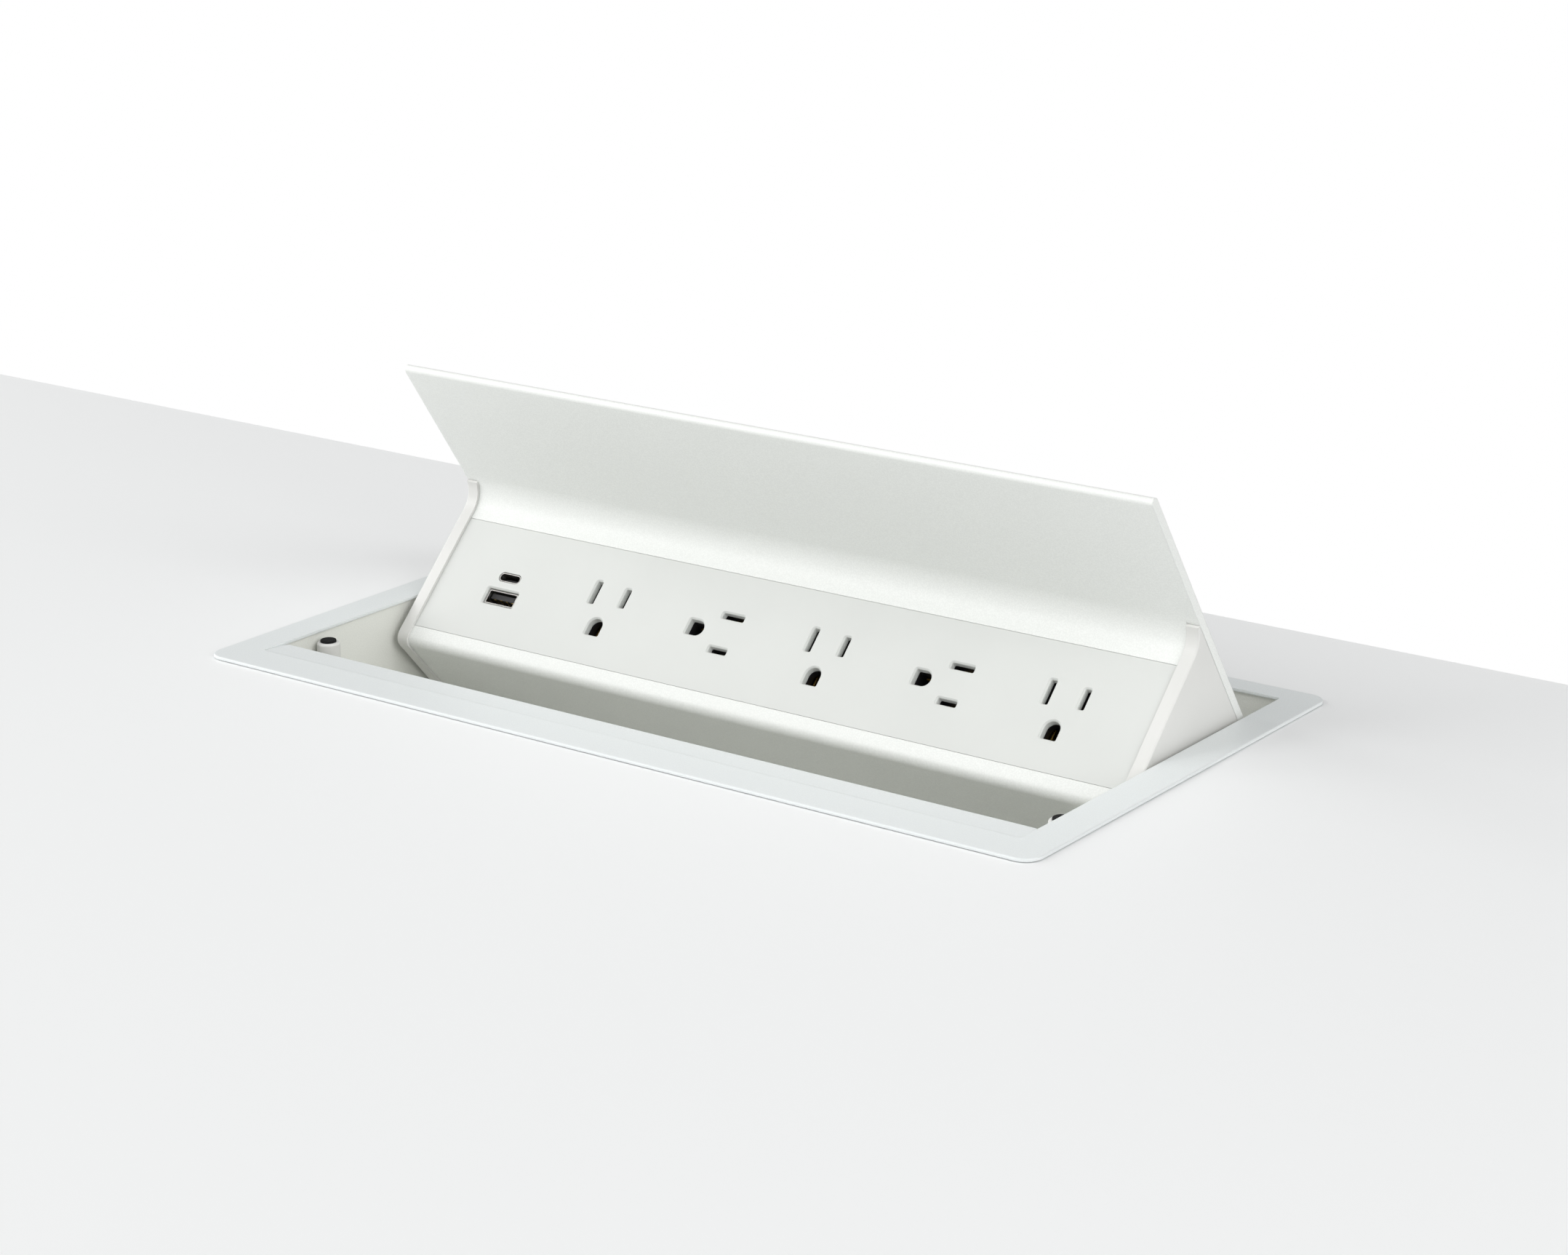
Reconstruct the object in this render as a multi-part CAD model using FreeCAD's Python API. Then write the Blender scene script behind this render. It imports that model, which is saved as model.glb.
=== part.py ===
"""In-desk power trough with a tilting outlet beam, drawn as separate pieces.

Millimetres. X runs along the length, Y to the back, Z up. Every piece is drawn
about the middle of the trim frame and then moved so that the origin lies on the
desktop, under the middle of the frame's front border. The beam is drawn closed,
with its lid level, and its pieces are then turned open about the pivot.
"""
import FreeCAD
import Part
import math
import os

# how far a cutting shape runs past a surface, and how near counts as touching
OVERCUT = 1.0
TINY = 1e-6

# trim frame that sits on the desktop
FRAME_LENGTH = 322.0
FRAME_DEPTH = 172.5
FRAME_THICK = 1.0
FRAME_CORNER_R = 6.0
FRAME_EDGE_R = 0.45
SIDE_BORDER = 12.5
FRONT_BORDER = 14.0
BACK_BORDER = 9.0
OPENING_CORNER_R = 1.5
SKIRT_DROP = 9.0
SKIRT_THICK = 1.0
SKIRT_NOTCH_CLEAR = 0.6

# folded tub that hangs in the desk
TUB_WALL = 1.2
TUB_SETBACK = 1.0
TUB_DEPTH = 66.0
TAB_WIDTH = 10.0
TAB_TOP = 12.0
TAB_BOTTOM = 8.0
FLOOR_TAB_INSET = 46.0
FLOOR_RIVET_INSET = 8.0

# lid plate of the beam
LID_END_GAP = 2.0
LID_THICK = 3.0
LID_PROUD = 0.5
LID_BACK_GAP = 2.9
CORD_SLOT = 5.9
LID_OPEN_ANGLE = 56.2
LID_CORNER_R = 0.4
LID_NOSE_R = 1.47
LID_HEEL_R = 1.0

# section of the beam below the lid
PIVOT_BEHIND_TIP = 105.4
PIVOT_BELOW_LID = 8.84
COVE_R = 9.5
PANEL_TILT = 11.4
PANEL_HEIGHT = 43.8
PANEL_FOOT_BEHIND_TIP = 70.9
PANEL_FOOT_BELOW_LID = 53.4
CHIN = 6.5
CHIN_R = 3.2
UNDERSIDE_RISE = 7.8
BODY_BACK = 9.1
BODY_BACK_LEAN = 2.5
BODY_BACK_R = 5.0
BEAM_WALL = 2.4
CAVITY_ROOF = 0.5
CAVITY_R = 1.5
WEB_THICK = 2.0
LEDGE = 2.5
SCREW_PORT_R = 3.2
SCREW_PORT_INSET = 6.0
SCREW_PORT_DROP = 0.6

# outlet strip and end caps
CAP_THICK = 4.6
CAP_PROUD = 0.8
CAP_EDGE_R = 0.5
CAP_LID_GAP = 0.12
CAP_TOP_BEHIND_TIP = 54.5
STRIP_THICK = 2.6
STRIP_SEAM = 0.1
TONGUE_THICK = 1.2
TONGUE_REACH = 1.3
SLIP = 0.1

# outlets
OUTLET_COUNT = 5
OUTLET_PITCH = 45.0
FIRST_OUTLET_X = -70.0
BLADE_SPACING = 12.7
GROUND_DISTANCE = 11.9
NEUTRAL_SLOT = 8.6
LINE_SLOT = 7.2
SLOT_WIDTH = 2.2
SLOT_CORNER_R = 0.5
GROUND_WIDTH = 5.6
GROUND_HEIGHT = 6.4
UPRIGHT_SLOT_RISE = 4.6
OUTLET_BODY_WIDTH = 39.0
OUTLET_BODY_CLEAR = 0.9
OUTLET_BODY_DEPTH = 17.4
OUTLET_FACE_WALL = 2.6
MOUTH_CHAMFER = 0.5

# contacts and bus bars
BUS_THICK = 0.8
BUS_EDGE = 3.5
BUS_FROM_MIDDLE = 12.4
LEAF_THICK = 0.6
LEAF_GAP = 1.5
LEAF_WIDTH = 5.0
GROUND_LEAF_GAP = 4.0
LEAF_START = 3.4
CHAMBER_CLEAR = 0.5
GROUND_LAYER_DROP = 4.0
TERMINAL_LENGTH = 8.0
TERMINAL_DEPTH = 9.0
TERMINAL_END_GAP = 0.5
TERMINAL_EDGE_GAP = 1.0
TERMINAL_SCREW_R = 1.6
TERMINAL_SCREW_SHIFT = 1.5
TERMINAL_SCREW_PROUD = 1.0

# charging sockets
USB_X = -113.0
USB_C_RISE = 2.8
USB_A_DROP = 4.9
USB_C_WIDTH = 9.4
USB_C_HEIGHT = 3.7
USB_A_WIDTH = 13.2
USB_A_HEIGHT = 5.9
USB_A_CORNER_R = 0.4
USB_C_END_FLAT = 0.1
SHELL_THICK = 0.35
USB_C_SHELL_GAP = 0.2
USB_A_SHELL_GAP = 0.35
USB_C_SHELL_RECESS = 0.15
USB_A_SHELL_RECESS = 0.9
USB_DEPTH = 16.0
BOARD_THICK = 1.6
BOARD_LENGTH = 28.0
USB_A_TONGUE_WIDTH = 11.1
USB_A_TONGUE_HEIGHT = 1.9
USB_A_TONGUE_RISE = 0.855
USB_A_TONGUE_RECESS = 2.25
USB_C_TONGUE_WIDTH = 6.7
USB_C_TONGUE_HEIGHT = 0.8
USB_C_TONGUE_RECESS = 2.7
TRANSFORMER_SIZE = 14.0
TRANSFORMER_DEPTH = 10.0
WINDING_WIDTH = 17.0
WINDING_HEIGHT = 8.4
WINDING_INSET = 2.0
LEAD_R = 0.8

# cord gland and grommet
GLAND_X = 120.0
GLAND_BELOW_LID = 30.0
GLAND_BORE_R = 4.2
GLAND_BARREL_R = 6.0
GLAND_FLANGE_R = 8.0
GLAND_FLANGE_THICK = 2.0
GLAND_NUT_R = 9.0
GLAND_NUT_THICK = 3.0
GLAND_NUT_SIDES = 6
GLAND_NUT_GAP = 0.2
GLAND_THREAD_PAST_NUT = 1.0
GROMMET_X = 112.0
GROMMET_Y = 45.0
GROMMET_LENGTH = 44.0
GROMMET_WIDTH = 22.0
GROMMET_RIM = 2.0
GROMMET_END_FLAT = 1.0

# pivots
PIN_R = 4.0
PIN_TAIL_R = 2.45
PIN_TAIL_LENGTH = 14.0
PIN_COLLAR_R = 6.5
PIN_COLLAR_THICK = 1.3
PIN_END_PAST_WALL = 1.8
SOCKET_R = 1.9
SOCKET_DEPTH = 3.0
BUSH_CLEAR = 0.05
BUSH_WALL = 1.5
BUSH_FLANGE_R = 8.0
BUSH_FLANGE_THICK = 1.2
BUSH_PAST_WALL = 1.3
WASHER_THICK = 0.3
WASHER_R = 6.4
PORT_CLEAR = 0.05

# cord lip along the front of the opening
LIP_THICK = 1.0
LIP_LEG = 9.0
LIP_DEPTH = 10.8
LIP_START_DROP = 0.15
LIP_FALL = 0.65
LIP_CORNER_R = 3.0
LIP_ROLL_R = 0.45
LIP_LEG_INSET = 8.0

# bumper posts under the front corners of the lid
POST_R = 3.9
POST_FROM_WALL = 4.5
POST_BEHIND_LIP = 26.8
POST_EDGE_R = 0.9
PAD_R = 2.7
PAD_PROUD = 0.8
PAD_SEAT = 1.7
REST_GAP = 0.3
POST_SCREW_R = 1.6
POST_SCREW_LENGTH = 14.0
SCREW_HEAD_R = 3.0
SCREW_HEAD_THICK = 1.6
SCREW_SLOT_WIDTH = 0.8

# stops that the back of the lid meets when open
STOP_X = 100.0
STOP_WIDTH = 14.0
STOP_REACH = 12.0
STOP_LEG_SHARE = 0.5206
STOP_SHEET = 1.2
STOP_PAD_THICK = 1.5
STOP_RIVET_SHARE = 0.6

# rivets
RIVET_R = 1.6
RIVET_HEAD_R = 2.6
RIVET_HEAD_THICK = 0.7
SKIRT_RIVET_PITCH = 80.0
SKIRT_RIVETS = 4
SKIRT_RIVET_Z = -5.4

# desk clamps at the tub's ends
RAIL_DEPTH = 4.6
RAIL_WIDTH = 20.0
RAIL_SHEET = 1.2
RAIL_SLOT = 8.0
RAIL_TOP = -13.0
RAIL_BOTTOM = -66.0
RAIL_RIVET_INSET = 2.9
NUT_THICK = 1.8
NUT_HEIGHT = 11.0
SLIDE_CLEAR = 0.2
CLAMP_SHEET = 2.5
CLAMP_WIDTH = 24.0
CLAMP_LEG = 30.0
CLAMP_REACH = 20.0
CLAMP_PAD_TOP = -40.0
CLAMP_PAD_THICK = 1.5
CLAMP_PAD_REACH = 14.0
CLAMP_SCREW_DROP = 14.0
CLAMP_SCREW_R = 2.5
KNOB_R = 7.4
KNOB_THICK = 10.0
KNOB_NECK = 0.6
KNOB_GRIPS = 8
KNOB_GRIP_R = 1.3

# end cap screws
CAP_SCREW_R = 1.5
CAP_SCREW_LENGTH = 14.0

# places that follow from the sizes above
FRAME_HALF_X = FRAME_LENGTH / 2
FRAME_HALF_Y = FRAME_DEPTH / 2
OPEN_X = FRAME_HALF_X - SIDE_BORDER
OPEN_FRONT = -FRAME_HALF_Y + FRONT_BORDER
OPEN_BACK = FRAME_HALF_Y - BACK_BORDER
TUB_X = OPEN_X + TUB_SETBACK
TUB_FRONT = OPEN_FRONT - TUB_SETBACK
TUB_BACK = OPEN_BACK + TUB_SETBACK
LID_X = OPEN_X - LID_END_GAP
BEAM_X = LID_X - CAP_THICK
LID_TIP_Y = OPEN_FRONT + LIP_DEPTH + CORD_SLOT
LID_BACK_Y = OPEN_BACK - LID_BACK_GAP
LID_TOP_Z = FRAME_THICK + LID_PROUD
LID_UNDER_Z = LID_TOP_Z - LID_THICK
PIVOT_Y = LID_TIP_Y + PIVOT_BEHIND_TIP
PIVOT_Z = LID_UNDER_Z - PIVOT_BELOW_LID
TILT = math.radians(PANEL_TILT)
RISE = math.radians(UNDERSIDE_RISE)
OUTLET_BODY_TOP_N = -STRIP_THICK
OUTLET_BODY_BACK_N = OUTLET_BODY_TOP_N - OUTLET_BODY_DEPTH
BUS_N = OUTLET_BODY_BACK_N - BUS_THICK
GROUND_BUS_N = BUS_N - GROUND_LAYER_DROP
PANEL_MIDDLE_V = PANEL_HEIGHT / 2
UPRIGHT_SLOT_V = PANEL_MIDDLE_V + UPRIGHT_SLOT_RISE
USB_C_V = PANEL_MIDDLE_V + USB_C_RISE
USB_A_V = PANEL_MIDDLE_V - USB_A_DROP
OUTLET_BODY_HEIGHT = PANEL_HEIGHT - 2 * (LEDGE + OUTLET_BODY_CLEAR)
BUS_WIDTH = PANEL_MIDDLE_V - BUS_FROM_MIDDLE - BUS_EDGE
LINE_BUS_V = BUS_EDGE + BUS_WIDTH / 2
NEUTRAL_BUS_V = PANEL_HEIGHT - LINE_BUS_V
BOARD_N = -USB_A_SHELL_RECESS - USB_DEPTH - BOARD_THICK
CLAMP_SCREW_Z = CLAMP_PAD_TOP - CLAMP_SCREW_DROP
RAIL_OUT_X = TUB_X + TUB_WALL + RAIL_DEPTH

SEAT_Y = (TUB_FRONT - TUB_WALL - SKIRT_THICK - FRAME_HALF_Y) / 2

PARTS = {}


def vec(x, y, z):
    """Short form of a point or direction."""
    return FreeCAD.Vector(x, y, z)


def block(x0, x1, y0, y1, z0, z1):
    """Box between two corners."""
    return Part.makeBox(x1 - x0, y1 - y0, z1 - z0, vec(x0, y0, z0))


def rod(radius, x0, x1, y, z):
    """Round bar along X."""
    return Part.makeCylinder(radius, x1 - x0, vec(x0, y, z), vec(1, 0, 0))


def post(radius, x, y, z0, z1):
    """Round bar along Z."""
    return Part.makeCylinder(radius, z1 - z0, vec(x, y, z0), vec(0, 0, 1))


def rounded_wire(points, radii):
    """Closed wire through the points, with an arc of the given radius at each."""
    count = len(points)
    starts = []
    ends = []
    middles = []
    for i in range(count):
        here = points[i]
        back = points[i - 1].sub(here)
        ahead = points[(i + 1) % count].sub(here)
        back.normalize()
        ahead.normalize()
        half = back.getAngle(ahead) / 2
        reach = radii[i] / math.tan(half)
        bisector = back.add(ahead)
        bisector.normalize()
        centre = here.add(bisector * (radii[i] / math.sin(half)))
        starts.append(here.add(back * reach))
        ends.append(here.add(ahead * reach))
        middles.append(centre.sub(bisector * radii[i]))
    edges = []
    for i in range(count):
        if radii[i] > 0:
            edges.append(Part.Arc(starts[i], middles[i], ends[i]).toShape())
        after = (i + 1) % count
        if ends[i].distanceToPoint(starts[after]) > TINY:
            edges.append(Part.makeLine(ends[i], starts[after]))
    return Part.Wire(edges)


def section_prism(outline, radii, x0, x1):
    """Solid along X from (y, z) pairs and their corner radii."""
    points = [vec(x0, y, z) for y, z in outline]
    face = Part.Face(rounded_wire(points, radii))
    return face.extrude(vec(x1 - x0, 0, 0))


def rounded_plate(x0, x1, y0, y1, z0, z1, radius):
    """Flat plate with four rounded corners."""
    points = [vec(x0, y0, z0), vec(x1, y0, z0), vec(x1, y1, z0), vec(x0, y1, z0)]
    face = Part.Face(rounded_wire(points, [radius] * 4))
    return face.extrude(vec(0, 0, z1 - z0))


def mirrored(shape):
    """The same piece at the other end of the tub."""
    return shape.mirror(vec(0, 0, 0), vec(1, 0, 0))


def keep(name, *shapes):
    """Store one node, made of one or more separate solids."""
    solids = []
    for shape in shapes:
        moved = shape.copy()
        moved.translate(vec(0, -SEAT_Y, 0))
        solids.extend(moved.Solids)
    PARTS[name] = solids[0] if len(solids) == 1 else Part.makeCompound(solids)


def opened(shape):
    """Turn a piece of the closed beam to the open pose."""
    turned = shape.copy()
    turned.rotate(vec(0, PIVOT_Y, PIVOT_Z), vec(1, 0, 0), -LID_OPEN_ANGLE)
    return turned


def keep_open(name, *shapes):
    """Store a node of the beam in its open pose."""
    keep(name, *[opened(shape) for shape in shapes])


def under_lid(behind_tip, below):
    """(y, z) of a place in the closed beam."""
    return (LID_TIP_Y + behind_tip, LID_UNDER_Z - below)


def panel_line(below):
    """How far behind the lid's tip the panel plane is at a depth below the lid."""
    return PANEL_FOOT_BEHIND_TIP + (below - PANEL_FOOT_BELOW_LID) * math.tan(TILT)


def chin_corner():
    """Corner where the panel plane meets the underside."""
    below = PANEL_FOOT_BELOW_LID + CHIN * math.cos(TILT)
    return (panel_line(below), below)


def underside(behind_tip):
    """Depth of the beam's underside below the lid."""
    corner = chin_corner()
    return corner[1] - (behind_tip - corner[0]) * math.tan(RISE)


def on_panel(shape):
    """Move a shape drawn on the panel (x, up the panel, outward) into the closed beam."""
    foot_y, foot_z = under_lid(PANEL_FOOT_BEHIND_TIP, PANEL_FOOT_BELOW_LID)
    moved = shape.copy()
    moved.rotate(vec(0, 0, 0), vec(1, 0, 0), 90 + PANEL_TILT)
    moved.translate(vec(0, foot_y, foot_z))
    return moved


# ---------------------------------------------------------------- frame and tub


def rivet(x, y, z, axis, grip):
    """Rivet whose head sits at the given place and whose shank runs along the axis."""
    start = vec(x, y, z)
    shank = Part.makeCylinder(RIVET_R, grip, start, axis)
    head = Part.makeCylinder(RIVET_HEAD_R, RIVET_HEAD_THICK, start - axis * RIVET_HEAD_THICK, axis)
    tail = Part.makeCylinder(RIVET_HEAD_R, RIVET_HEAD_THICK, start + axis * grip, axis)
    return shank.fuse([head, tail]).removeSplitter()


def skirt_rivet_xs():
    """X places of the rivets through the frame's skirts."""
    first = -SKIRT_RIVET_PITCH * (SKIRT_RIVETS - 1) / 2
    return [first + i * SKIRT_RIVET_PITCH for i in range(SKIRT_RIVETS)]


def front_rivets():
    """Rivets through the front skirt, the tub's wall and the cord lip."""
    grip = SKIRT_THICK + TUB_WALL + LIP_THICK
    start = TUB_FRONT - TUB_WALL - SKIRT_THICK
    return [rivet(x, start, SKIRT_RIVET_Z, vec(0, 1, 0), grip) for x in skirt_rivet_xs()]


def back_rivets():
    """Rivets through the back skirt and the tub's wall."""
    grip = SKIRT_THICK + TUB_WALL
    return [rivet(x, TUB_BACK, SKIRT_RIVET_Z, vec(0, 1, 0), grip) for x in skirt_rivet_xs()]


def tab_rivets():
    """Rivets through the end plates' tabs, for the right-hand end."""
    x = TUB_X - TAB_WIDTH / 2
    grip = 2 * TUB_WALL
    upper = -TAB_TOP - TAB_WIDTH
    lower = -TUB_DEPTH + TAB_BOTTOM + TAB_WIDTH
    made = []
    for z in (upper, lower):
        made.append(rivet(x, TUB_FRONT - grip, z, vec(0, 1, 0), grip))
        made.append(rivet(x, TUB_BACK, z, vec(0, 1, 0), grip))
    reach = FLOOR_TAB_INSET + FLOOR_RIVET_INSET
    for y in (TUB_FRONT + reach, TUB_BACK - reach):
        made.append(rivet(x, y, -TUB_DEPTH - grip, vec(0, 0, 1), grip))
    return made


def rail_rivets():
    """Rivets through the clamp rail's web and the end plate, for the right-hand end."""
    made = []
    for z in (RAIL_TOP - RAIL_RIVET_INSET, RAIL_BOTTOM + RAIL_RIVET_INSET):
        made.append(rivet(TUB_X, 0, z, vec(1, 0, 0), TUB_WALL + RAIL_SHEET))
    return made


def stop_rivets():
    """Rivets through the stop bracket and the back wall, for the right-hand stop."""
    made = []
    for x in (STOP_X - STOP_WIDTH / 4, STOP_X + STOP_WIDTH / 4):
        z = stop_shelf_z() - stop_leg() * STOP_RIVET_SHARE
        made.append(rivet(x, TUB_BACK - STOP_SHEET, z, vec(0, 1, 0), STOP_SHEET + TUB_WALL))
    return made


def all_rivets():
    """Every rivet of the tub."""
    right = tab_rivets() + rail_rivets() + stop_rivets()
    left = [mirrored(one) for one in right]
    return front_rivets() + back_rivets() + right + left


def drilled(shape, fasteners):
    """Cut the fasteners' own room out of a sheet piece."""
    return shape.cut(fasteners)


def frame_skirt():
    """Skirt round all four sides of the tub, notched over the pivot bushes."""
    side = TUB_X + TUB_WALL
    front = TUB_FRONT - TUB_WALL
    back = TUB_BACK + TUB_WALL
    outer = block(-side - SKIRT_THICK, side + SKIRT_THICK, front - SKIRT_THICK,
                  back + SKIRT_THICK, -SKIRT_DROP, 0)
    inner = block(-side, side, front, back, -SKIRT_DROP - OVERCUT, OVERCUT)
    reach = side + SKIRT_THICK + OVERCUT
    notch = rod(PIN_R + BUSH_CLEAR + BUSH_WALL + SKIRT_NOTCH_CLEAR, -reach, reach,
                PIVOT_Y, PIVOT_Z)
    return outer.cut(inner).cut(notch)


def trim_frame():
    """Flat frame with a skirt that fits round the tub."""
    plate = rounded_plate(-FRAME_HALF_X, FRAME_HALF_X, -FRAME_HALF_Y, FRAME_HALF_Y,
                          0, FRAME_THICK, FRAME_CORNER_R)
    rim = [edge for edge in plate.Edges if edge.BoundBox.ZMin > FRAME_THICK - TINY]
    plate = plate.makeFillet(FRAME_EDGE_R, rim)
    hole = rounded_plate(-OPEN_X, OPEN_X, OPEN_FRONT, OPEN_BACK,
                         -FRAME_THICK, 2 * FRAME_THICK, OPENING_CORNER_R)
    return plate.cut(hole).fuse(frame_skirt()).removeSplitter()


def grommet_outline(grow, z0, z1):
    """Long round-ended hole in the tub's floor, grown all round."""
    half_x = GROMMET_LENGTH / 2 + grow
    half_y = GROMMET_WIDTH / 2 + grow
    return rounded_plate(GROMMET_X - half_x, GROMMET_X + half_x, GROMMET_Y - half_y,
                         GROMMET_Y + half_y, z0, z1, half_y - GROMMET_END_FLAT / 2)


def tub_pan():
    """Front wall, floor and back wall folded from one sheet."""
    outer = block(-TUB_X, TUB_X, TUB_FRONT - TUB_WALL, TUB_BACK + TUB_WALL,
                  -TUB_DEPTH - TUB_WALL, 0)
    inner = block(-TUB_X, TUB_X, TUB_FRONT, TUB_BACK, -TUB_DEPTH, 0)
    pan = outer.cut(inner)
    return pan.cut(grommet_outline(0, -TUB_DEPTH - 2 * TUB_WALL, -TUB_DEPTH + TUB_WALL))


def tub_end():
    """Right-hand end plate, with tabs folded round the outside of the pan."""
    front = TUB_FRONT - TUB_WALL
    back = TUB_BACK + TUB_WALL
    floor = -TUB_DEPTH - TUB_WALL
    plate = block(TUB_X, TUB_X + TUB_WALL, front, back, floor, 0)
    low = -TUB_DEPTH + TAB_BOTTOM
    inside = TUB_X - TAB_WIDTH
    outside = TUB_X + TUB_WALL
    front_tab = block(inside, outside, front - TUB_WALL, front, low, -TAB_TOP)
    back_tab = block(inside, outside, back, back + TUB_WALL, low, -TAB_TOP)
    floor_tab = block(inside, outside, TUB_FRONT + FLOOR_TAB_INSET, TUB_BACK - FLOOR_TAB_INSET,
                      floor - TUB_WALL, floor)
    plate = plate.fuse([front_tab, back_tab, floor_tab]).removeSplitter()
    barrel = rod(PIN_R + BUSH_CLEAR + BUSH_WALL, TUB_X - OVERCUT, TUB_X + 2 * TUB_WALL,
                 PIVOT_Y, PIVOT_Z)
    return plate.cut(barrel)


def lip_plan():
    """Outline of the lip from above, a little inside the frame's opening."""
    side = OPEN_X - SLIP
    front = OPEN_FRONT + SLIP
    rear = OPEN_FRONT + LIP_DEPTH
    low = -LIP_THICK - LIP_FALL
    points = [vec(-side, front, low), vec(side, front, low), vec(side, rear, low),
              vec(-side, rear, low)]
    near = OPENING_CORNER_R + SLIP
    radii = [near, near, LIP_CORNER_R, LIP_CORNER_R]
    return Part.Face(rounded_wire(points, radii)).extrude(vec(0, 0, 2 * LIP_THICK + LIP_FALL))


def cord_lip():
    """Gently sloping strip with a rolled rear edge, on a leg down the front wall."""
    top = FRAME_THICK - LIP_START_DROP
    front = OPEN_FRONT
    rear = front + LIP_DEPTH
    outline = [
        (front, top),
        (rear, top - LIP_FALL),
        (rear, top - LIP_FALL - LIP_THICK),
        (front, -LIP_THICK),
    ]
    strip = section_prism(outline, [0, LIP_ROLL_R, LIP_ROLL_R, 0], -TUB_X, TUB_X).common(lip_plan())
    half = TUB_X - LIP_LEG_INSET
    leg = block(-half, half, TUB_FRONT, TUB_FRONT + LIP_THICK, -LIP_LEG, -SLIP)
    bend = block(-half, half, TUB_FRONT, OPEN_FRONT + LIP_THICK, -LIP_THICK, -SLIP)
    return strip.fuse([leg, bend]).removeSplitter()


def post_place():
    """(x, y) of the right-hand bumper post."""
    return (TUB_X - POST_FROM_WALL, OPEN_FRONT + POST_BEHIND_LIP)


def post_top():
    """Height of the plastic post's top."""
    return LID_UNDER_Z - REST_GAP - PAD_PROUD


def bumper_post():
    """Right-hand post, with a seat for the pad and a hole for its screw."""
    x, y = post_place()
    top = post_top()
    body = post(POST_R, x, y, -TUB_DEPTH, top)
    rim = [edge for edge in body.Edges if edge.BoundBox.ZMin > top - TINY]
    body = body.makeFillet(POST_EDGE_R, rim)
    seat = post(PAD_R, x, y, top - PAD_SEAT, top + OVERCUT)
    hole = post(POST_SCREW_R, x, y, -TUB_DEPTH - OVERCUT, -TUB_DEPTH + POST_SCREW_LENGTH)
    return body.cut([seat, hole])


def bumper_pad():
    """Right-hand rubber pad, proud of its post."""
    x, y = post_place()
    top = post_top()
    pad = post(PAD_R, x, y, top - PAD_SEAT, top + PAD_PROUD)
    rim = [edge for edge in pad.Edges if edge.BoundBox.ZMin > top + PAD_PROUD - TINY]
    return pad.makeFillet(PAD_PROUD / 2, rim)


def post_screw():
    """Right-hand screw, up through the tub's floor into the post."""
    x, y = post_place()
    under = -TUB_DEPTH - TUB_WALL
    shank = post(POST_SCREW_R, x, y, under, -TUB_DEPTH + POST_SCREW_LENGTH)
    head = post(SCREW_HEAD_R, x, y, under - SCREW_HEAD_THICK, under)
    half = SCREW_SLOT_WIDTH / 2
    slot = block(x - SCREW_HEAD_R, x + SCREW_HEAD_R, y - half, y + half,
                 under - SCREW_HEAD_THICK - OVERCUT, under - SCREW_HEAD_THICK / 2)
    return shank.fuse(head).removeSplitter().cut(slot)


def lid_back_when_open():
    """(y, z) of the lid's lower back corner in the open pose."""
    turn = math.radians(-LID_OPEN_ANGLE)
    y = LID_BACK_Y - PIVOT_Y
    z = LID_UNDER_Z - PIVOT_Z
    return (PIVOT_Y + y * math.cos(turn) - z * math.sin(turn),
            PIVOT_Z + y * math.sin(turn) + z * math.cos(turn))


def stop_shelf_z():
    """Top of the stop bracket's shelf."""
    return lid_back_when_open()[1] - REST_GAP - STOP_PAD_THICK


def stop_leg():
    """Length of the stop bracket's leg, a share of the room above the floor."""
    return (stop_shelf_z() + TUB_DEPTH) * STOP_LEG_SHARE


def stop_bracket():
    """Right-hand angle bracket on the back wall."""
    top = stop_shelf_z()
    x0 = STOP_X - STOP_WIDTH / 2
    x1 = STOP_X + STOP_WIDTH / 2
    shelf = block(x0, x1, TUB_BACK - STOP_REACH, TUB_BACK, top - STOP_SHEET, top)
    leg = block(x0, x1, TUB_BACK - STOP_SHEET, TUB_BACK, top - stop_leg(), top)
    return shelf.fuse(leg).removeSplitter()


def stop_pad():
    """Right-hand rubber pad on the shelf."""
    top = stop_shelf_z()
    x0 = STOP_X - STOP_WIDTH / 2
    x1 = STOP_X + STOP_WIDTH / 2
    return block(x0, x1, TUB_BACK - STOP_REACH, TUB_BACK - STOP_SHEET, top, top + STOP_PAD_THICK)


def pivot_bush():
    """Right-hand flanged bush in the end plate."""
    barrel_r = PIN_R + BUSH_CLEAR + BUSH_WALL
    barrel = rod(barrel_r, TUB_X, TUB_X + TUB_WALL + BUSH_PAST_WALL, PIVOT_Y, PIVOT_Z)
    flange = rod(BUSH_FLANGE_R, TUB_X - BUSH_FLANGE_THICK, TUB_X, PIVOT_Y, PIVOT_Z)
    bore = rod(PIN_R + BUSH_CLEAR, TUB_X - BUSH_FLANGE_THICK - OVERCUT,
               TUB_X + TUB_WALL + BUSH_PAST_WALL + OVERCUT, PIVOT_Y, PIVOT_Z)
    return barrel.fuse(flange).removeSplitter().cut(bore)


def cord_grommet():
    """Rubber edging round the hole in the tub's floor."""
    top = -TUB_DEPTH
    under = top - TUB_WALL
    lips = grommet_outline(GROMMET_RIM, under - GROMMET_RIM, top + GROMMET_RIM)
    hollow = grommet_outline(-GROMMET_RIM, under - 2 * GROMMET_RIM, top + 2 * GROMMET_RIM)
    sheet = grommet_outline(2 * GROMMET_RIM, under, top)
    groove = sheet.cut(grommet_outline(0, under, top))
    return lips.cut(hollow).cut(groove)


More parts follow.
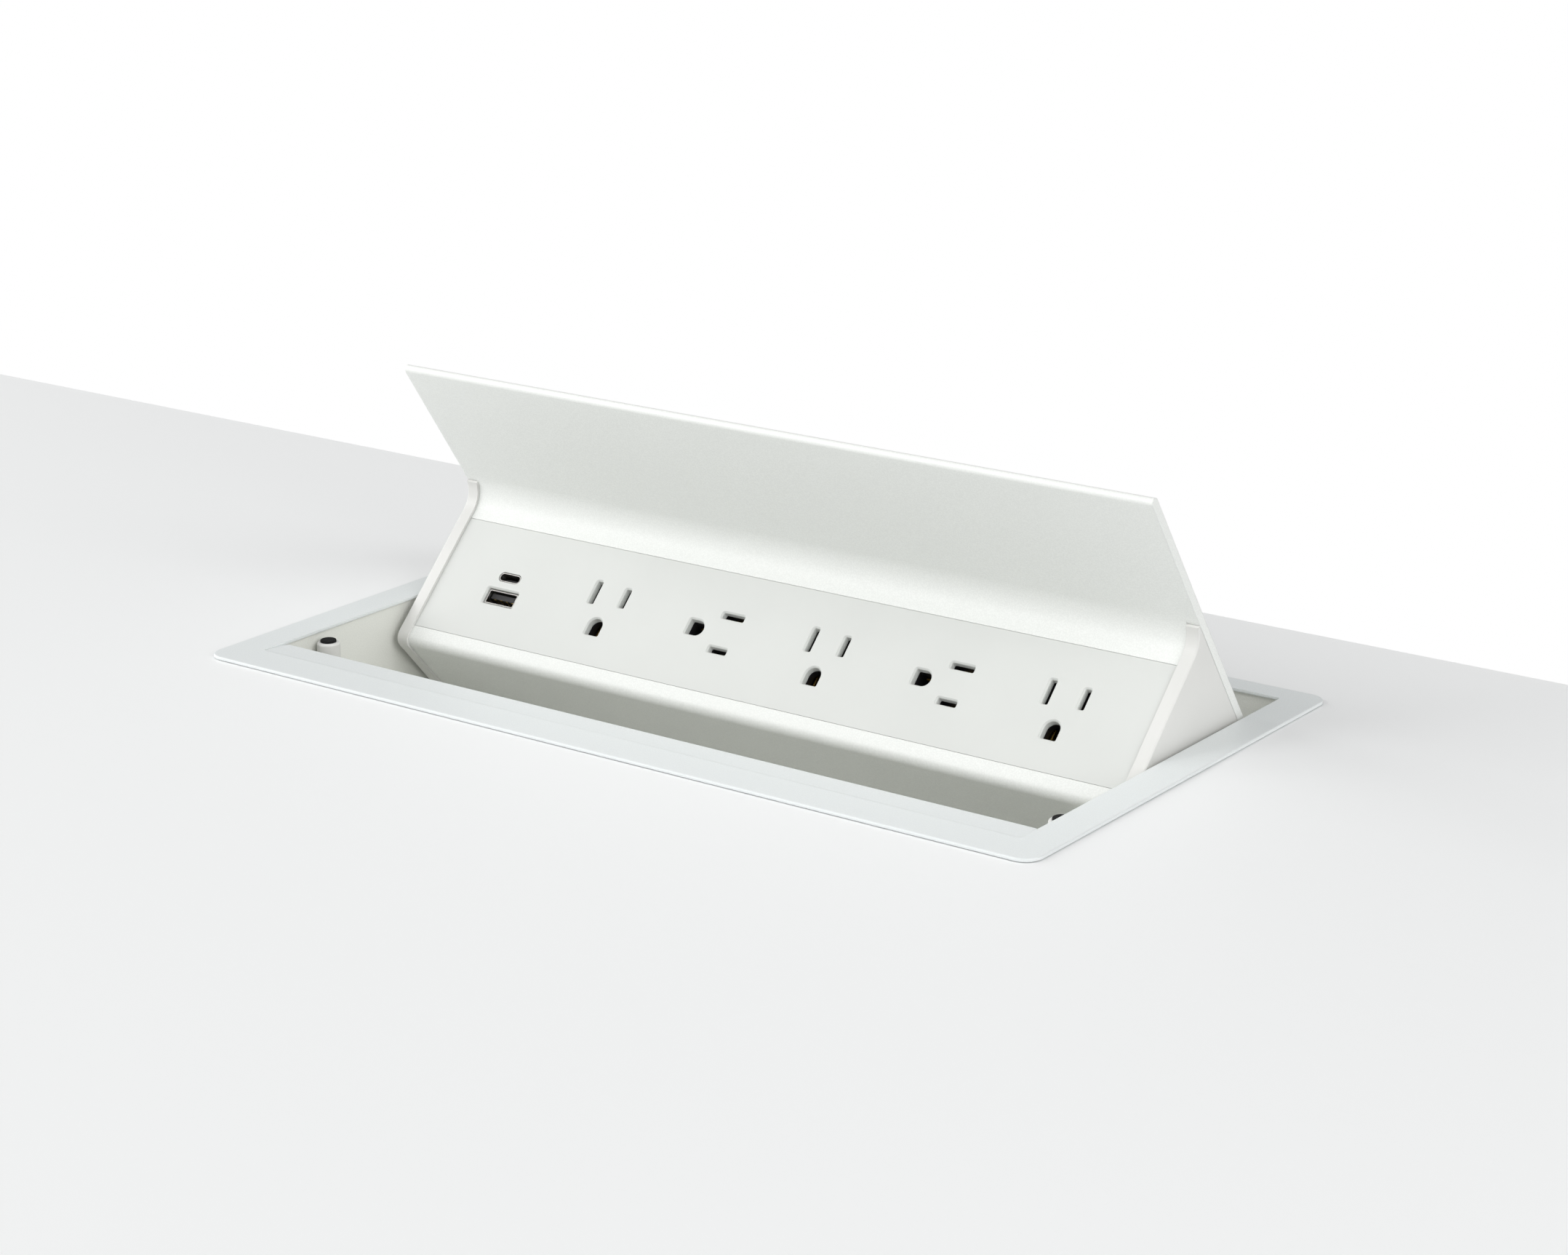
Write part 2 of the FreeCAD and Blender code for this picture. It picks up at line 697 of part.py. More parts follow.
def clamp_rail():
    """Right-hand channel on the end plate, open outward through a slot."""
    x0 = TUB_X + TUB_WALL
    half = RAIL_WIDTH / 2
    outer = block(x0, RAIL_OUT_X, -half, half, RAIL_BOTTOM, RAIL_TOP)
    inner = block(x0 + RAIL_SHEET, RAIL_OUT_X - RAIL_SHEET, -half + RAIL_SHEET, half - RAIL_SHEET,
                  RAIL_BOTTOM, RAIL_TOP)
    slot = block(x0 + RAIL_SHEET, RAIL_OUT_X + OVERCUT, -RAIL_SLOT / 2, RAIL_SLOT / 2,
                 RAIL_BOTTOM, RAIL_TOP)
    return outer.cut([inner, slot])


# ---------------------------------------------------------------- desk clamps


def clamp_nut():
    """Right-hand nut that slides inside the rail."""
    half = RAIL_WIDTH / 2 - RAIL_SHEET - SLIDE_CLEAR
    x1 = RAIL_OUT_X - RAIL_SHEET - SLIDE_CLEAR
    plate = block(x1 - NUT_THICK, x1, -half, half,
                  CLAMP_SCREW_Z - NUT_HEIGHT / 2, CLAMP_SCREW_Z + NUT_HEIGHT / 2)
    return plate.cut(rod(CLAMP_SCREW_R + BUSH_CLEAR, x1 - 2 * NUT_THICK, x1 + NUT_THICK,
                         0, CLAMP_SCREW_Z))


def clamp_foot():
    """Right-hand angle whose foot reaches out under the desktop."""
    x0 = RAIL_OUT_X + SLIDE_CLEAR
    half = CLAMP_WIDTH / 2
    top = CLAMP_PAD_TOP - CLAMP_PAD_THICK
    leg = block(x0, x0 + CLAMP_SHEET, -half, half, top - CLAMP_LEG, top)
    foot = block(x0, x0 + CLAMP_REACH, -half, half, top - CLAMP_SHEET, top)
    made = leg.fuse(foot).removeSplitter()
    return made.cut(rod(CLAMP_SCREW_R + SLIDE_CLEAR, x0 - CLAMP_SHEET, x0 + 2 * CLAMP_SHEET,
                        0, CLAMP_SCREW_Z))


def clamp_pad():
    """Right-hand rubber pad on the foot."""
    x1 = RAIL_OUT_X + SLIDE_CLEAR + CLAMP_REACH
    half = CLAMP_WIDTH / 2
    return block(x1 - CLAMP_PAD_REACH, x1, -half, half,
                 CLAMP_PAD_TOP - CLAMP_PAD_THICK, CLAMP_PAD_TOP)


def clamp_knob():
    """Right-hand thumb screw through the foot's leg into the nut."""
    z = CLAMP_SCREW_Z
    leg_out = RAIL_OUT_X + SLIDE_CLEAR + CLAMP_SHEET
    start = leg_out + KNOB_NECK
    nut_back = RAIL_OUT_X - RAIL_SHEET - SLIDE_CLEAR - NUT_THICK
    stem = rod(CLAMP_SCREW_R, nut_back, start + KNOB_THICK / 2, 0, z)
    head = rod(KNOB_R, start, start + KNOB_THICK, 0, z)
    for i in range(KNOB_GRIPS):
        angle = 2 * math.pi * (i + 0.5) / KNOB_GRIPS
        y = KNOB_R * math.sin(angle)
        head = head.cut(rod(KNOB_GRIP_R, start - OVERCUT, start + KNOB_THICK + OVERCUT, y,
                            z + KNOB_R * math.cos(angle)))
    return head.fuse(stem).removeSplitter()


# ---------------------------------------------------------------- beam


def back_top():
    """Distance behind the tip where the body's back wall leaves the lid."""
    return PIVOT_BEHIND_TIP + BODY_BACK


def body_outline():
    """Corners of the body's section, up to the lid."""
    back = back_top()
    low_back = back - BODY_BACK_LEAN
    return [
        under_lid(panel_line(0), 0),
        under_lid(*chin_corner()),
        under_lid(low_back, underside(low_back)),
        under_lid(back, 0),
    ]


def cap_outline():
    """Corners of the end cap's section, proud of the cove, strip, chin and underside."""
    proud = CAP_PROUD
    flat = CAP_LID_GAP
    start = panel_line(0) - COVE_R
    chin_u, chin_w = chin_corner()
    low_back = back_top() - BODY_BACK_LEAN
    return [
        under_lid(start, flat),
        under_lid(start, proud),
        under_lid(panel_line(proud) - proud / math.cos(TILT), proud),
        under_lid(chin_u - proud, chin_w + proud),
        under_lid(low_back + proud, underside(low_back) + proud),
        under_lid(back_top() + proud, flat),
    ]


def beam_section():
    """Outer section of the whole extrusion: lid plate and body in one."""
    return [
        under_lid(0, -LID_THICK),
        under_lid(0, 0),
        under_lid(panel_line(0), 0),
        under_lid(*chin_corner()),
        under_lid(back_top() - BODY_BACK_LEAN, underside(back_top() - BODY_BACK_LEAN)),
        under_lid(back_top(), 0),
        under_lid(LID_BACK_Y - LID_TIP_Y, 0),
        under_lid(LID_BACK_Y - LID_TIP_Y, -LID_THICK),
    ]


def beam_cavity():
    """Inside section of the body."""
    wall = BEAM_WALL
    chin_u, chin_w = chin_corner()
    front = (STRIP_THICK + wall) / math.cos(TILT)
    low_back = back_top() - BODY_BACK_LEAN
    return [
        under_lid(panel_line(CAVITY_ROOF) + front, CAVITY_ROOF),
        under_lid(chin_u + front - wall * math.tan(TILT), chin_w - wall - front * math.tan(RISE)),
        under_lid(low_back - wall, underside(low_back - wall) - wall),
        under_lid(back_top() - wall, CAVITY_ROOF),
    ]


def screw_ports():
    """(y, z) of the two screw ports along the extrusion."""
    chin_u, chin_w = chin_corner()
    front = chin_u + STRIP_THICK + SCREW_PORT_INSET
    low_back = back_top() - BODY_BACK_LEAN - SCREW_PORT_INSET
    rise = SCREW_PORT_INSET - SCREW_PORT_DROP
    return [
        under_lid(front, underside(front) - rise),
        under_lid(low_back, underside(low_back) - rise),
    ]


def strip_channel():
    """Room for the outlet strip: window, grooves and the way into the body."""
    x0 = -LID_X - OVERCUT
    x1 = LID_X + OVERCUT
    lip = STRIP_THICK - TONGUE_THICK - 2 * SLIP
    window = block(x0, x1, 0, PANEL_HEIGHT, -lip, OVERCUT)
    reach = TONGUE_REACH + SLIP
    groove = block(x0, x1, -reach, PANEL_HEIGHT + reach, -STRIP_THICK, -lip)
    way = block(x0, x1, LEDGE, PANEL_HEIGHT - LEDGE, -STRIP_THICK - 3 * BEAM_WALL, -lip)
    return on_panel(window.fuse([groove, way]))


def port_walls():
    """Solid rounds and webs that carry the screws and the pivot pins."""
    made = []
    half = WEB_THICK / 2
    foot = PANEL_FOOT_BELOW_LID + 2 * CHIN
    for y, z in screw_ports():
        made.append(rod(SCREW_PORT_R, -BEAM_X, BEAM_X, y, z))
        made.append(block(-BEAM_X, BEAM_X, y - half, y + half, LID_UNDER_Z - foot, z))
    wall = PIN_TAIL_R + PORT_CLEAR + BEAM_WALL
    made.append(rod(wall, -BEAM_X, BEAM_X, PIVOT_Y, PIVOT_Z))
    made.append(block(-BEAM_X, BEAM_X, PIVOT_Y - half, PIVOT_Y + half, PIVOT_Z, LID_UNDER_Z))
    return made


def beam_extrusion():
    """Lid plate, cove, chin and hollow body, one extrusion machined at its ends."""
    radii = [LID_NOSE_R, LID_NOSE_R, COVE_R, CHIN_R,
             BODY_BACK_R, LID_HEEL_R, LID_CORNER_R, LID_CORNER_R]
    solid = section_prism(beam_section(), radii, -LID_X, LID_X)
    end_room = block(BEAM_X, LID_X + OVERCUT, LID_TIP_Y - OVERCUT, LID_BACK_Y + OVERCUT,
                     -TUB_DEPTH, LID_UNDER_Z)
    solid = solid.cut([end_room, mirrored(end_room)])
    cavity = section_prism(beam_cavity(), [CAVITY_R] * 4, -BEAM_X, BEAM_X)
    outer = section_prism(body_outline(), [0, CHIN_R, BODY_BACK_R, 0], -BEAM_X, BEAM_X)
    webs = [web.common(outer) for web in port_walls()]
    solid = solid.cut(cavity).fuse(webs)
    cuts = [strip_channel(), gland_hole()]
    for y, z in screw_ports():
        cuts.append(rod(CAP_SCREW_R, -BEAM_X, BEAM_X, y, z))
    cuts.append(rod(PIN_TAIL_R + PORT_CLEAR, -BEAM_X, BEAM_X, PIVOT_Y, PIVOT_Z))
    return solid.cut(cuts).removeSplitter()


def end_cap():
    """Right-hand plastic cap over the body's end, proud of the cove and the strip."""
    radii = [0, 0, COVE_R - CAP_PROUD, CHIN_R + CAP_PROUD, BODY_BACK_R + CAP_PROUD, 0]
    cap = section_prism(cap_outline(), radii, BEAM_X, LID_X)
    below_top = LID_UNDER_Z - 2 * CAP_PROUD
    outside = [edge for edge in cap.Edges
               if edge.BoundBox.XMin > LID_X - TINY and edge.BoundBox.ZMin < below_top]
    cap = cap.makeFillet(CAP_EDGE_R, outside)
    cut_y = LID_TIP_Y + CAP_TOP_BEHIND_TIP
    cuts = [block(BEAM_X - OVERCUT, LID_X + OVERCUT, LID_TIP_Y, cut_y,
                  LID_UNDER_Z - COVE_R, LID_TOP_Z)]
    cuts.append(rod(PIN_R, BEAM_X - OVERCUT, LID_X + OVERCUT, PIVOT_Y, PIVOT_Z))
    for y, z in screw_ports():
        cuts.append(rod(CAP_SCREW_R + SLIP, BEAM_X - OVERCUT, LID_X + OVERCUT, y, z))
        cuts.append(rod(SCREW_HEAD_R + SLIP, LID_X - SCREW_HEAD_THICK, LID_X + OVERCUT, y, z))
    return cap.cut(cuts)


def cap_screws():
    """The two screws of the right-hand cap."""
    made = []
    half = SCREW_SLOT_WIDTH / 2
    for y, z in screw_ports():
        shank = rod(CAP_SCREW_R, LID_X - CAP_SCREW_LENGTH, LID_X - SCREW_HEAD_THICK, y, z)
        head = rod(SCREW_HEAD_R, LID_X - SCREW_HEAD_THICK, LID_X - SLIP, y, z)
        slot = block(LID_X - SCREW_HEAD_THICK / 2, LID_X + OVERCUT, y - SCREW_HEAD_R,
                     y + SCREW_HEAD_R, z - half, z + half)
        made.append(shank.fuse(head).removeSplitter().cut(slot))
    return made


def pivot_pin():
    """Right-hand shoulder pin: tail in the extrusion, journal in the bush."""
    tail = rod(PIN_TAIL_R, BEAM_X - PIN_TAIL_LENGTH, BEAM_X + OVERCUT, PIVOT_Y, PIVOT_Z)
    collar = rod(PIN_COLLAR_R, LID_X, LID_X + PIN_COLLAR_THICK, PIVOT_Y, PIVOT_Z)
    end = TUB_X + TUB_WALL + PIN_END_PAST_WALL
    journal = rod(PIN_R, BEAM_X, end, PIVOT_Y, PIVOT_Z)
    socket = rod(SOCKET_R, end - SOCKET_DEPTH, end + OVERCUT, PIVOT_Y, PIVOT_Z)
    return tail.fuse([collar, journal]).removeSplitter().cut(socket)


def friction_washer():
    """Right-hand thin washer between the pin's collar and the bush."""
    x0 = LID_X + PIN_COLLAR_THICK
    ring = rod(WASHER_R, x0, x0 + WASHER_THICK, PIVOT_Y, PIVOT_Z)
    return ring.cut(rod(PIN_R, x0 - OVERCUT, x0 + 2 * OVERCUT, PIVOT_Y, PIVOT_Z))


def gland_frame(shape):
    """Move a shape drawn along +Z from the origin onto the body's back wall."""
    drop = underside(back_top() - BODY_BACK_LEAN)
    lean = math.degrees(math.atan2(BODY_BACK_LEAN, drop))
    behind = back_top() - BODY_BACK_LEAN * GLAND_BELOW_LID / drop
    y, z = under_lid(behind, GLAND_BELOW_LID)
    moved = shape.copy()
    moved.rotate(vec(0, 0, 0), vec(1, 0, 0), -90 - lean)
    moved.translate(vec(GLAND_X, y, z))
    return moved


def gland_hole():
    """Room for the gland's barrel in the back wall."""
    return gland_frame(post(GLAND_BARREL_R, 0, 0, -3 * BEAM_WALL, 2 * BEAM_WALL))


def cord_gland():
    """Gland body: outside flange, barrel and cord bore."""
    flange = post(GLAND_FLANGE_R, 0, 0, 0, GLAND_FLANGE_THICK)
    rim = [edge for edge in flange.Edges if edge.BoundBox.ZMin > GLAND_FLANGE_THICK - TINY]
    flange = flange.makeFillet(GLAND_FLANGE_THICK / 2, rim)
    barrel = post(GLAND_BARREL_R, 0, 0, -BEAM_WALL - GLAND_NUT_THICK - GLAND_THREAD_PAST_NUT, 0)
    bore = post(GLAND_BORE_R, 0, 0, -4 * BEAM_WALL, 2 * BEAM_WALL)
    return gland_frame(flange.fuse(barrel).removeSplitter().cut(bore))


def gland_nut():
    """Six-sided nut inside the back wall."""
    corners = []
    for i in range(GLAND_NUT_SIDES + 1):
        angle = 2 * math.pi * i / GLAND_NUT_SIDES
        corners.append(vec(GLAND_NUT_R * math.cos(angle), GLAND_NUT_R * math.sin(angle),
                           -BEAM_WALL - GLAND_NUT_GAP))
    face = Part.Face(Part.makePolygon(corners))
    nut = face.extrude(vec(0, 0, -GLAND_NUT_THICK))
    return gland_frame(nut.cut(post(GLAND_BARREL_R, 0, 0, -3 * GLAND_NUT_THICK, 0)))


# ---------------------------------------------------------------- outlets


def outlet_places(index):
    """Neutral slot, line slot and ground hole of one outlet, as (x, v, turned)."""
    x = FIRST_OUTLET_X + index * OUTLET_PITCH
    half = BLADE_SPACING / 2
    if index % 2 == 0:
        v = UPRIGHT_SLOT_V
        return [(x - half, v, False), (x + half, v, False), (x, v - GROUND_DISTANCE, False)]
    shift = GROUND_DISTANCE / 2
    v = PANEL_MIDDLE_V
    return [(x + shift, v + half, True), (x + shift, v - half, True), (x - shift, v, True)]


def panel_box(x, v, width, height, turned, n0, n1, grow):
    """Box on the panel round a middle, with its sides swapped when turned."""
    half_x = (height if turned else width) / 2 + grow
    half_v = (width if turned else height) / 2 + grow
    return block(x - half_x, x + half_x, v - half_v, v + half_v, n0, n1)


def flared(x0, x1, v0, v1, corner):
    """Softened mouth of an opening in the strip's face, widening outward."""
    grow = MOUTH_CHAMFER
    low = [vec(x0, v0, -grow), vec(x1, v0, -grow), vec(x1, v1, -grow), vec(x0, v1, -grow)]
    high = [vec(x0 - grow, v0 - grow, 0), vec(x1 + grow, v0 - grow, 0),
            vec(x1 + grow, v1 + grow, 0), vec(x0 - grow, v1 + grow, 0)]
    wires = [rounded_wire(low, [corner] * 4), rounded_wire(high, [corner + grow] * 4)]
    return Part.makeLoft(wires, True, True)


def slot_tool(x, v, length, turned, n0):
    """Blade slot through the strip, with a softened mouth."""
    size = panel_box(x, v, SLOT_WIDTH, length, turned, n0, SLIP, 0).BoundBox
    cut = rounded_plate(size.XMin, size.XMax, size.YMin, size.YMax, n0, SLIP, SLOT_CORNER_R)
    return cut.fuse(flared(size.XMin, size.XMax, size.YMin, size.YMax, SLOT_CORNER_R))


def ground_tool(x, v, turned, n0, grow):
    """D-shaped ground hole, its round side towards the blade slots."""
    radius = GROUND_WIDTH / 2 + grow
    round_part = post(radius, 0, 0, n0, SLIP)
    straight = GROUND_HEIGHT - GROUND_WIDTH / 2 + grow
    flat_part = rounded_plate(-radius, radius, -radius, straight, n0, SLIP, SLOT_CORNER_R)
    flat_part = flat_part.common(block(-radius, radius, 0, straight, n0, SLIP))
    lower = block(-radius, radius, -radius, 0, n0, SLIP)
    made = round_part.common(lower).fuse(flat_part).removeSplitter()
    if grow == 0:
        made = made.fuse(ground_flare(radius))
    made.rotate(vec(0, 0, 0), vec(0, 0, 1), 90 if turned else 180)
    made.translate(vec(x, v, 0))
    return made


def ground_flare(radius):
    """Softened mouth of the ground hole."""
    grow = MOUTH_CHAMFER
    straight = GROUND_HEIGHT - GROUND_WIDTH / 2
    cone = Part.makeCone(radius, radius + grow, grow, vec(0, 0, -grow), vec(0, 0, 1))
    lower = block(-radius - grow, radius + grow, -radius - grow, 0, -grow, 0)
    flat = flared(-radius, radius, -radius, straight, SLOT_CORNER_R)
    keep_flat = block(-radius - grow, radius + grow, 0, straight + grow, -grow, 0)
    return cone.common(lower).fuse(flat.common(keep_flat)).removeSplitter()


def usb_c_round(grow, n0, n1):
    """Round-ended section of the small charging socket, grown all round."""
    half_x = USB_C_WIDTH / 2 + grow
    half_v = USB_C_HEIGHT / 2 + grow
    return rounded_plate(USB_X - half_x, USB_X + half_x, USB_C_V - half_v, USB_C_V + half_v,
                         n0, n1, half_v - USB_C_END_FLAT / 2)


def usb_a_box(grow, n0, n1):
    """Section of the large charging socket, grown all round."""
    return rounded_plate(USB_X - USB_A_WIDTH / 2 - grow, USB_X + USB_A_WIDTH / 2 + grow,
                         USB_A_V - USB_A_HEIGHT / 2 - grow, USB_A_V + USB_A_HEIGHT / 2 + grow,
                         n0, n1, USB_A_CORNER_R + max(grow, 0))


def outlet_strip():
    """White face strip with tongues in the extrusion's grooves and every opening."""
    through = -STRIP_THICK - OVERCUT
    face = block(-BEAM_X, BEAM_X, STRIP_SEAM, PANEL_HEIGHT - STRIP_SEAM, -STRIP_THICK, 0)
    back = -STRIP_THICK + SLIP
    tongue = block(-BEAM_X, BEAM_X, -TONGUE_REACH, PANEL_HEIGHT + TONGUE_REACH,
                   back, back + TONGUE_THICK)
    strip = face.fuse(tongue).removeSplitter()
    cuts = [usb_c_round(0, through, OVERCUT), usb_a_box(0, through, OVERCUT)]
    low_v = USB_A_V - USB_A_HEIGHT / 2
    cuts.append(flared(USB_X - USB_A_WIDTH / 2, USB_X + USB_A_WIDTH / 2, low_v,
                       low_v + USB_A_HEIGHT, USB_A_CORNER_R))
    for index in range(OUTLET_COUNT):
        neutral, line, ground = outlet_places(index)
        cuts.append(slot_tool(neutral[0], neutral[1], NEUTRAL_SLOT, neutral[2], through))
        cuts.append(slot_tool(line[0], line[1], LINE_SLOT, line[2], through))
        cuts.append(ground_tool(ground[0], ground[1], ground[2], through, 0))
    return on_panel(strip.cut(cuts))


def chamber(place, gap, length):
    """Room behind the face for one contact's two leaves."""
    x, v, turned = place
    clear = CHAMBER_CLEAR
    width = gap + 2 * LEAF_THICK + 2 * clear
    start = OUTLET_BODY_TOP_N - OUTLET_FACE_WALL
    return panel_box(x, v, width, length + 2 * clear, turned,
                     OUTLET_BODY_BACK_N - OVERCUT, start, 0)


def outlet_body(index):
    """Moulded block behind the strip for one outlet."""
    x = FIRST_OUTLET_X + index * OUTLET_PITCH
    half_x = OUTLET_BODY_WIDTH / 2
    half_v = OUTLET_BODY_HEIGHT / 2
    front = OUTLET_BODY_TOP_N
    block_body = block(x - half_x, x + half_x, PANEL_MIDDLE_V - half_v, PANEL_MIDDLE_V + half_v,
                       OUTLET_BODY_BACK_N, front)
    neutral, line, ground = outlet_places(index)
    cuts = []
    for place, length in ((neutral, NEUTRAL_SLOT), (line, LINE_SLOT)):
        cuts.append(panel_box(place[0], place[1], SLOT_WIDTH, length, place[2],
                              OUTLET_BODY_BACK_N, front + OVERCUT, 0))
        cuts.append(chamber(place, LEAF_GAP, LEAF_WIDTH))
    cuts.append(ground_tool(ground[0], ground[1], ground[2], OUTLET_BODY_BACK_N - OVERCUT,
                            PORT_CLEAR))
    cuts.append(chamber(ground, GROUND_LEAF_GAP, LEAF_WIDTH))
    return on_panel(block_body.cut(cuts))


def contact(place, gap, base_n):
    """Two spring leaves joined at their back."""
    x, v, turned = place
    outer = panel_box(x, v, gap + 2 * LEAF_THICK, LEAF_WIDTH, turned, base_n,
                      OUTLET_BODY_TOP_N - LEAF_START, 0)
    inner = panel_box(x, v, gap, 2 * LEAF_WIDTH, turned, base_n + BUS_THICK,
                      OUTLET_BODY_TOP_N, 0)
    return outer.cut(inner)


def tail(place, bus_v, base_n):
    """Strip that joins a contact's back to its bus bar."""
    x, v, _turned = place
    half = LEAF_THICK + LEAF_GAP / 2
    low = min(v, bus_v) - half
    high = max(v, bus_v) + half
    return block(x - half, x + half, low, high, base_n, base_n + BUS_THICK)


def bus_bar(which, bus_v, base_n, gap):
    """One stamped bar with a contact for every outlet."""
    start = FIRST_OUTLET_X - OUTLET_BODY_WIDTH / 2
    end = BEAM_X - TERMINAL_LENGTH / 2
    bar = block(start, end, bus_v - BUS_WIDTH / 2, bus_v + BUS_WIDTH / 2,
                base_n, base_n + BUS_THICK)
    pieces = []
    for index in range(OUTLET_COUNT):
        place = outlet_places(index)[which]
        pieces.append(contact(place, gap, base_n))
        pieces.append(tail(place, bus_v, base_n))
    return bar.fuse(pieces).removeSplitter()


def terminal_block(bars, screws):
    """Supply terminals at the bars' right-hand ends."""
    end = BEAM_X - TERMINAL_END_GAP
    body = block(end - TERMINAL_LENGTH, end, TERMINAL_EDGE_GAP, PANEL_HEIGHT - TERMINAL_EDGE_GAP,
                 GROUND_BUS_N - TERMINAL_DEPTH / 2, BUS_N + BUS_THICK + TERMINAL_DEPTH / 4)
    return on_panel(body).cut(bars + screws)


def terminal_screws():
    """Clamp screws, one above each bar's end."""
    made = []
    x = BEAM_X - TERMINAL_END_GAP - TERMINAL_LENGTH / 2 - TERMINAL_SCREW_SHIFT
    top = BUS_N + BUS_THICK + TERMINAL_DEPTH / 4 + TERMINAL_SCREW_PROUD
    for v, n in ((LINE_BUS_V, BUS_N), (PANEL_MIDDLE_V, GROUND_BUS_N), (NEUTRAL_BUS_V, BUS_N)):
        made.append(on_panel(post(TERMINAL_SCREW_R, x, v, n + BUS_THICK, top)))
    return made


# ---------------------------------------------------------------- charging sockets


def usb_c_shell():
    """Thin drawn shell of the small socket."""
    back = BOARD_N + BOARD_THICK
    gap = USB_C_SHELL_GAP
    outer = usb_c_round(-gap, back, -USB_C_SHELL_RECESS)
    inner = usb_c_round(-gap - SHELL_THICK, back + SHELL_THICK, OVERCUT)
    return on_panel(outer.cut(inner))


def usb_a_shell():
    """Folded shell of the large socket."""
    back = BOARD_N + BOARD_THICK
    gap = USB_A_SHELL_GAP
    outer = usb_a_box(-gap, back, -USB_A_SHELL_RECESS)
    inner = usb_a_box(-gap - SHELL_THICK, back + SHELL_THICK, OVERCUT)
    return on_panel(outer.cut(inner))


def usb_c_tongue():
    """Contact tongue in the middle of the small shell."""
    back = BOARD_N + BOARD_THICK + SHELL_THICK
    half = USB_C_TONGUE_WIDTH / 2
    height = USB_C_TONGUE_HEIGHT / 2
    return on_panel(block(USB_X - half, USB_X + half, USB_C_V - height, USB_C_V + height,
                          back, -USB_C_TONGUE_RECESS))


def usb_a_tongue():
    """Contact tongue in the upper half of the large shell."""
    back = BOARD_N + BOARD_THICK + SHELL_THICK
    half = USB_A_TONGUE_WIDTH / 2
    v = USB_A_V + USB_A_TONGUE_RISE
    return on_panel(block(USB_X - half, USB_X + half, v - USB_A_TONGUE_HEIGHT / 2,
                          v + USB_A_TONGUE_HEIGHT / 2, back, -USB_A_TONGUE_RECESS))


def usb_board():
    """Circuit board behind the charging sockets."""
    half = BOARD_LENGTH / 2
    low = PANEL_MIDDLE_V - OUTLET_BODY_HEIGHT / 2
    return on_panel(block(USB_X - half, USB_X + half, low, low + OUTLET_BODY_HEIGHT,
                          BOARD_N, BOARD_N + BOARD_THICK))


def usb_transformer():
    """Wound part on the back of the board."""
    half = TRANSFORMER_SIZE / 2
    core = block(USB_X - half, USB_X + half, PANEL_MIDDLE_V - half, PANEL_MIDDLE_V + half,
                 BOARD_N - TRANSFORMER_DEPTH, BOARD_N)
    winding = block(USB_X - WINDING_WIDTH / 2, USB_X + WINDING_WIDTH / 2,
                    PANEL_MIDDLE_V - WINDING_HEIGHT / 2, PANEL_MIDDLE_V + WINDING_HEIGHT / 2,
                    BOARD_N - TRANSFORMER_DEPTH + WINDING_INSET, BOARD_N - WINDING_INSET)
    return on_panel(core.fuse(winding).removeSplitter())


def usb_leads():
    """Short leads from the line and neutral bars to the board."""
    made = []
    start = USB_X + BOARD_LENGTH / 2
    end = FIRST_OUTLET_X - OUTLET_BODY_WIDTH / 2
    n = BUS_N + BUS_THICK + LEAD_R
    for v in (LINE_BUS_V, NEUTRAL_BUS_V):
        lead = Part.makeCylinder(LEAD_R, end - start, vec(start, v, n), vec(1, 0, 0))
        made.append(on_panel(lead))
    return made


# ---------------------------------------------------------------- assembly


def build_tub():
    """Every piece that stays still."""
    rivets = all_rivets()
    screws = [post_screw(), mirrored(post_screw())]
    keep("trim_frame", drilled(trim_frame(), rivets))
    keep("tub_pan", drilled(tub_pan(), rivets + screws))
    keep("tub_end_right", drilled(tub_end(), rivets))
    keep("tub_end_left", drilled(mirrored(tub_end()), rivets))
    keep("cord_lip", drilled(cord_lip(), rivets))
    keep("tub_rivets", *rivets)
    keep("bumper_post_right", bumper_post())
    keep("bumper_post_left", mirrored(bumper_post()))
    keep("bumper_pad_right", bumper_pad())
    keep("bumper_pad_left", mirrored(bumper_pad()))
    keep("bumper_post_screws", *screws)
    keep("open_stop_bracket_right", drilled(stop_bracket(), rivets))
    keep("open_stop_bracket_left", drilled(mirrored(stop_bracket()), rivets))
    keep("open_stop_pad_right", stop_pad())
    keep("open_stop_pad_left", mirrored(stop_pad()))
    keep("pivot_bush_right", pivot_bush())
    keep("pivot_bush_left", mirrored(pivot_bush()))
    keep("clamp_rail_right", drilled(clamp_rail(), rivets))
    keep("clamp_rail_left", drilled(mirrored(clamp_rail()), rivets))
    keep("cord_grommet", cord_grommet())


def build_clamps():
    """Sliding desk clamps at both ends."""
    for side, place in (("right", lambda shape: shape), ("left", mirrored)):
        keep("clamp_foot_" + side, place(clamp_foot()))
        keep("clamp_pad_" + side, place(clamp_pad()))
        keep("clamp_nut_" + side, place(clamp_nut()))
        keep("clamp_knob_" + side, place(clamp_knob()))


def build_beam():
    """Everything that tilts."""
    keep_open("beam_extrusion", beam_extrusion())
    keep_open("outlet_strip", outlet_strip())
    keep_open("end_cap_right", end_cap())
    keep_open("end_cap_left", mirrored(end_cap()))
    screws = cap_screws()
    keep_open("end_cap_screws", *(screws + [mirrored(one) for one in screws]))
    keep_open("pivot_pin_right", pivot_pin())
    keep_open("pivot_pin_left", mirrored(pivot_pin()))
    keep_open("friction_washer_right", friction_washer())
    keep_open("friction_washer_left", mirrored(friction_washer()))
    keep_open("cord_gland", cord_gland())
    keep_open("cord_gland_nut", gland_nut())


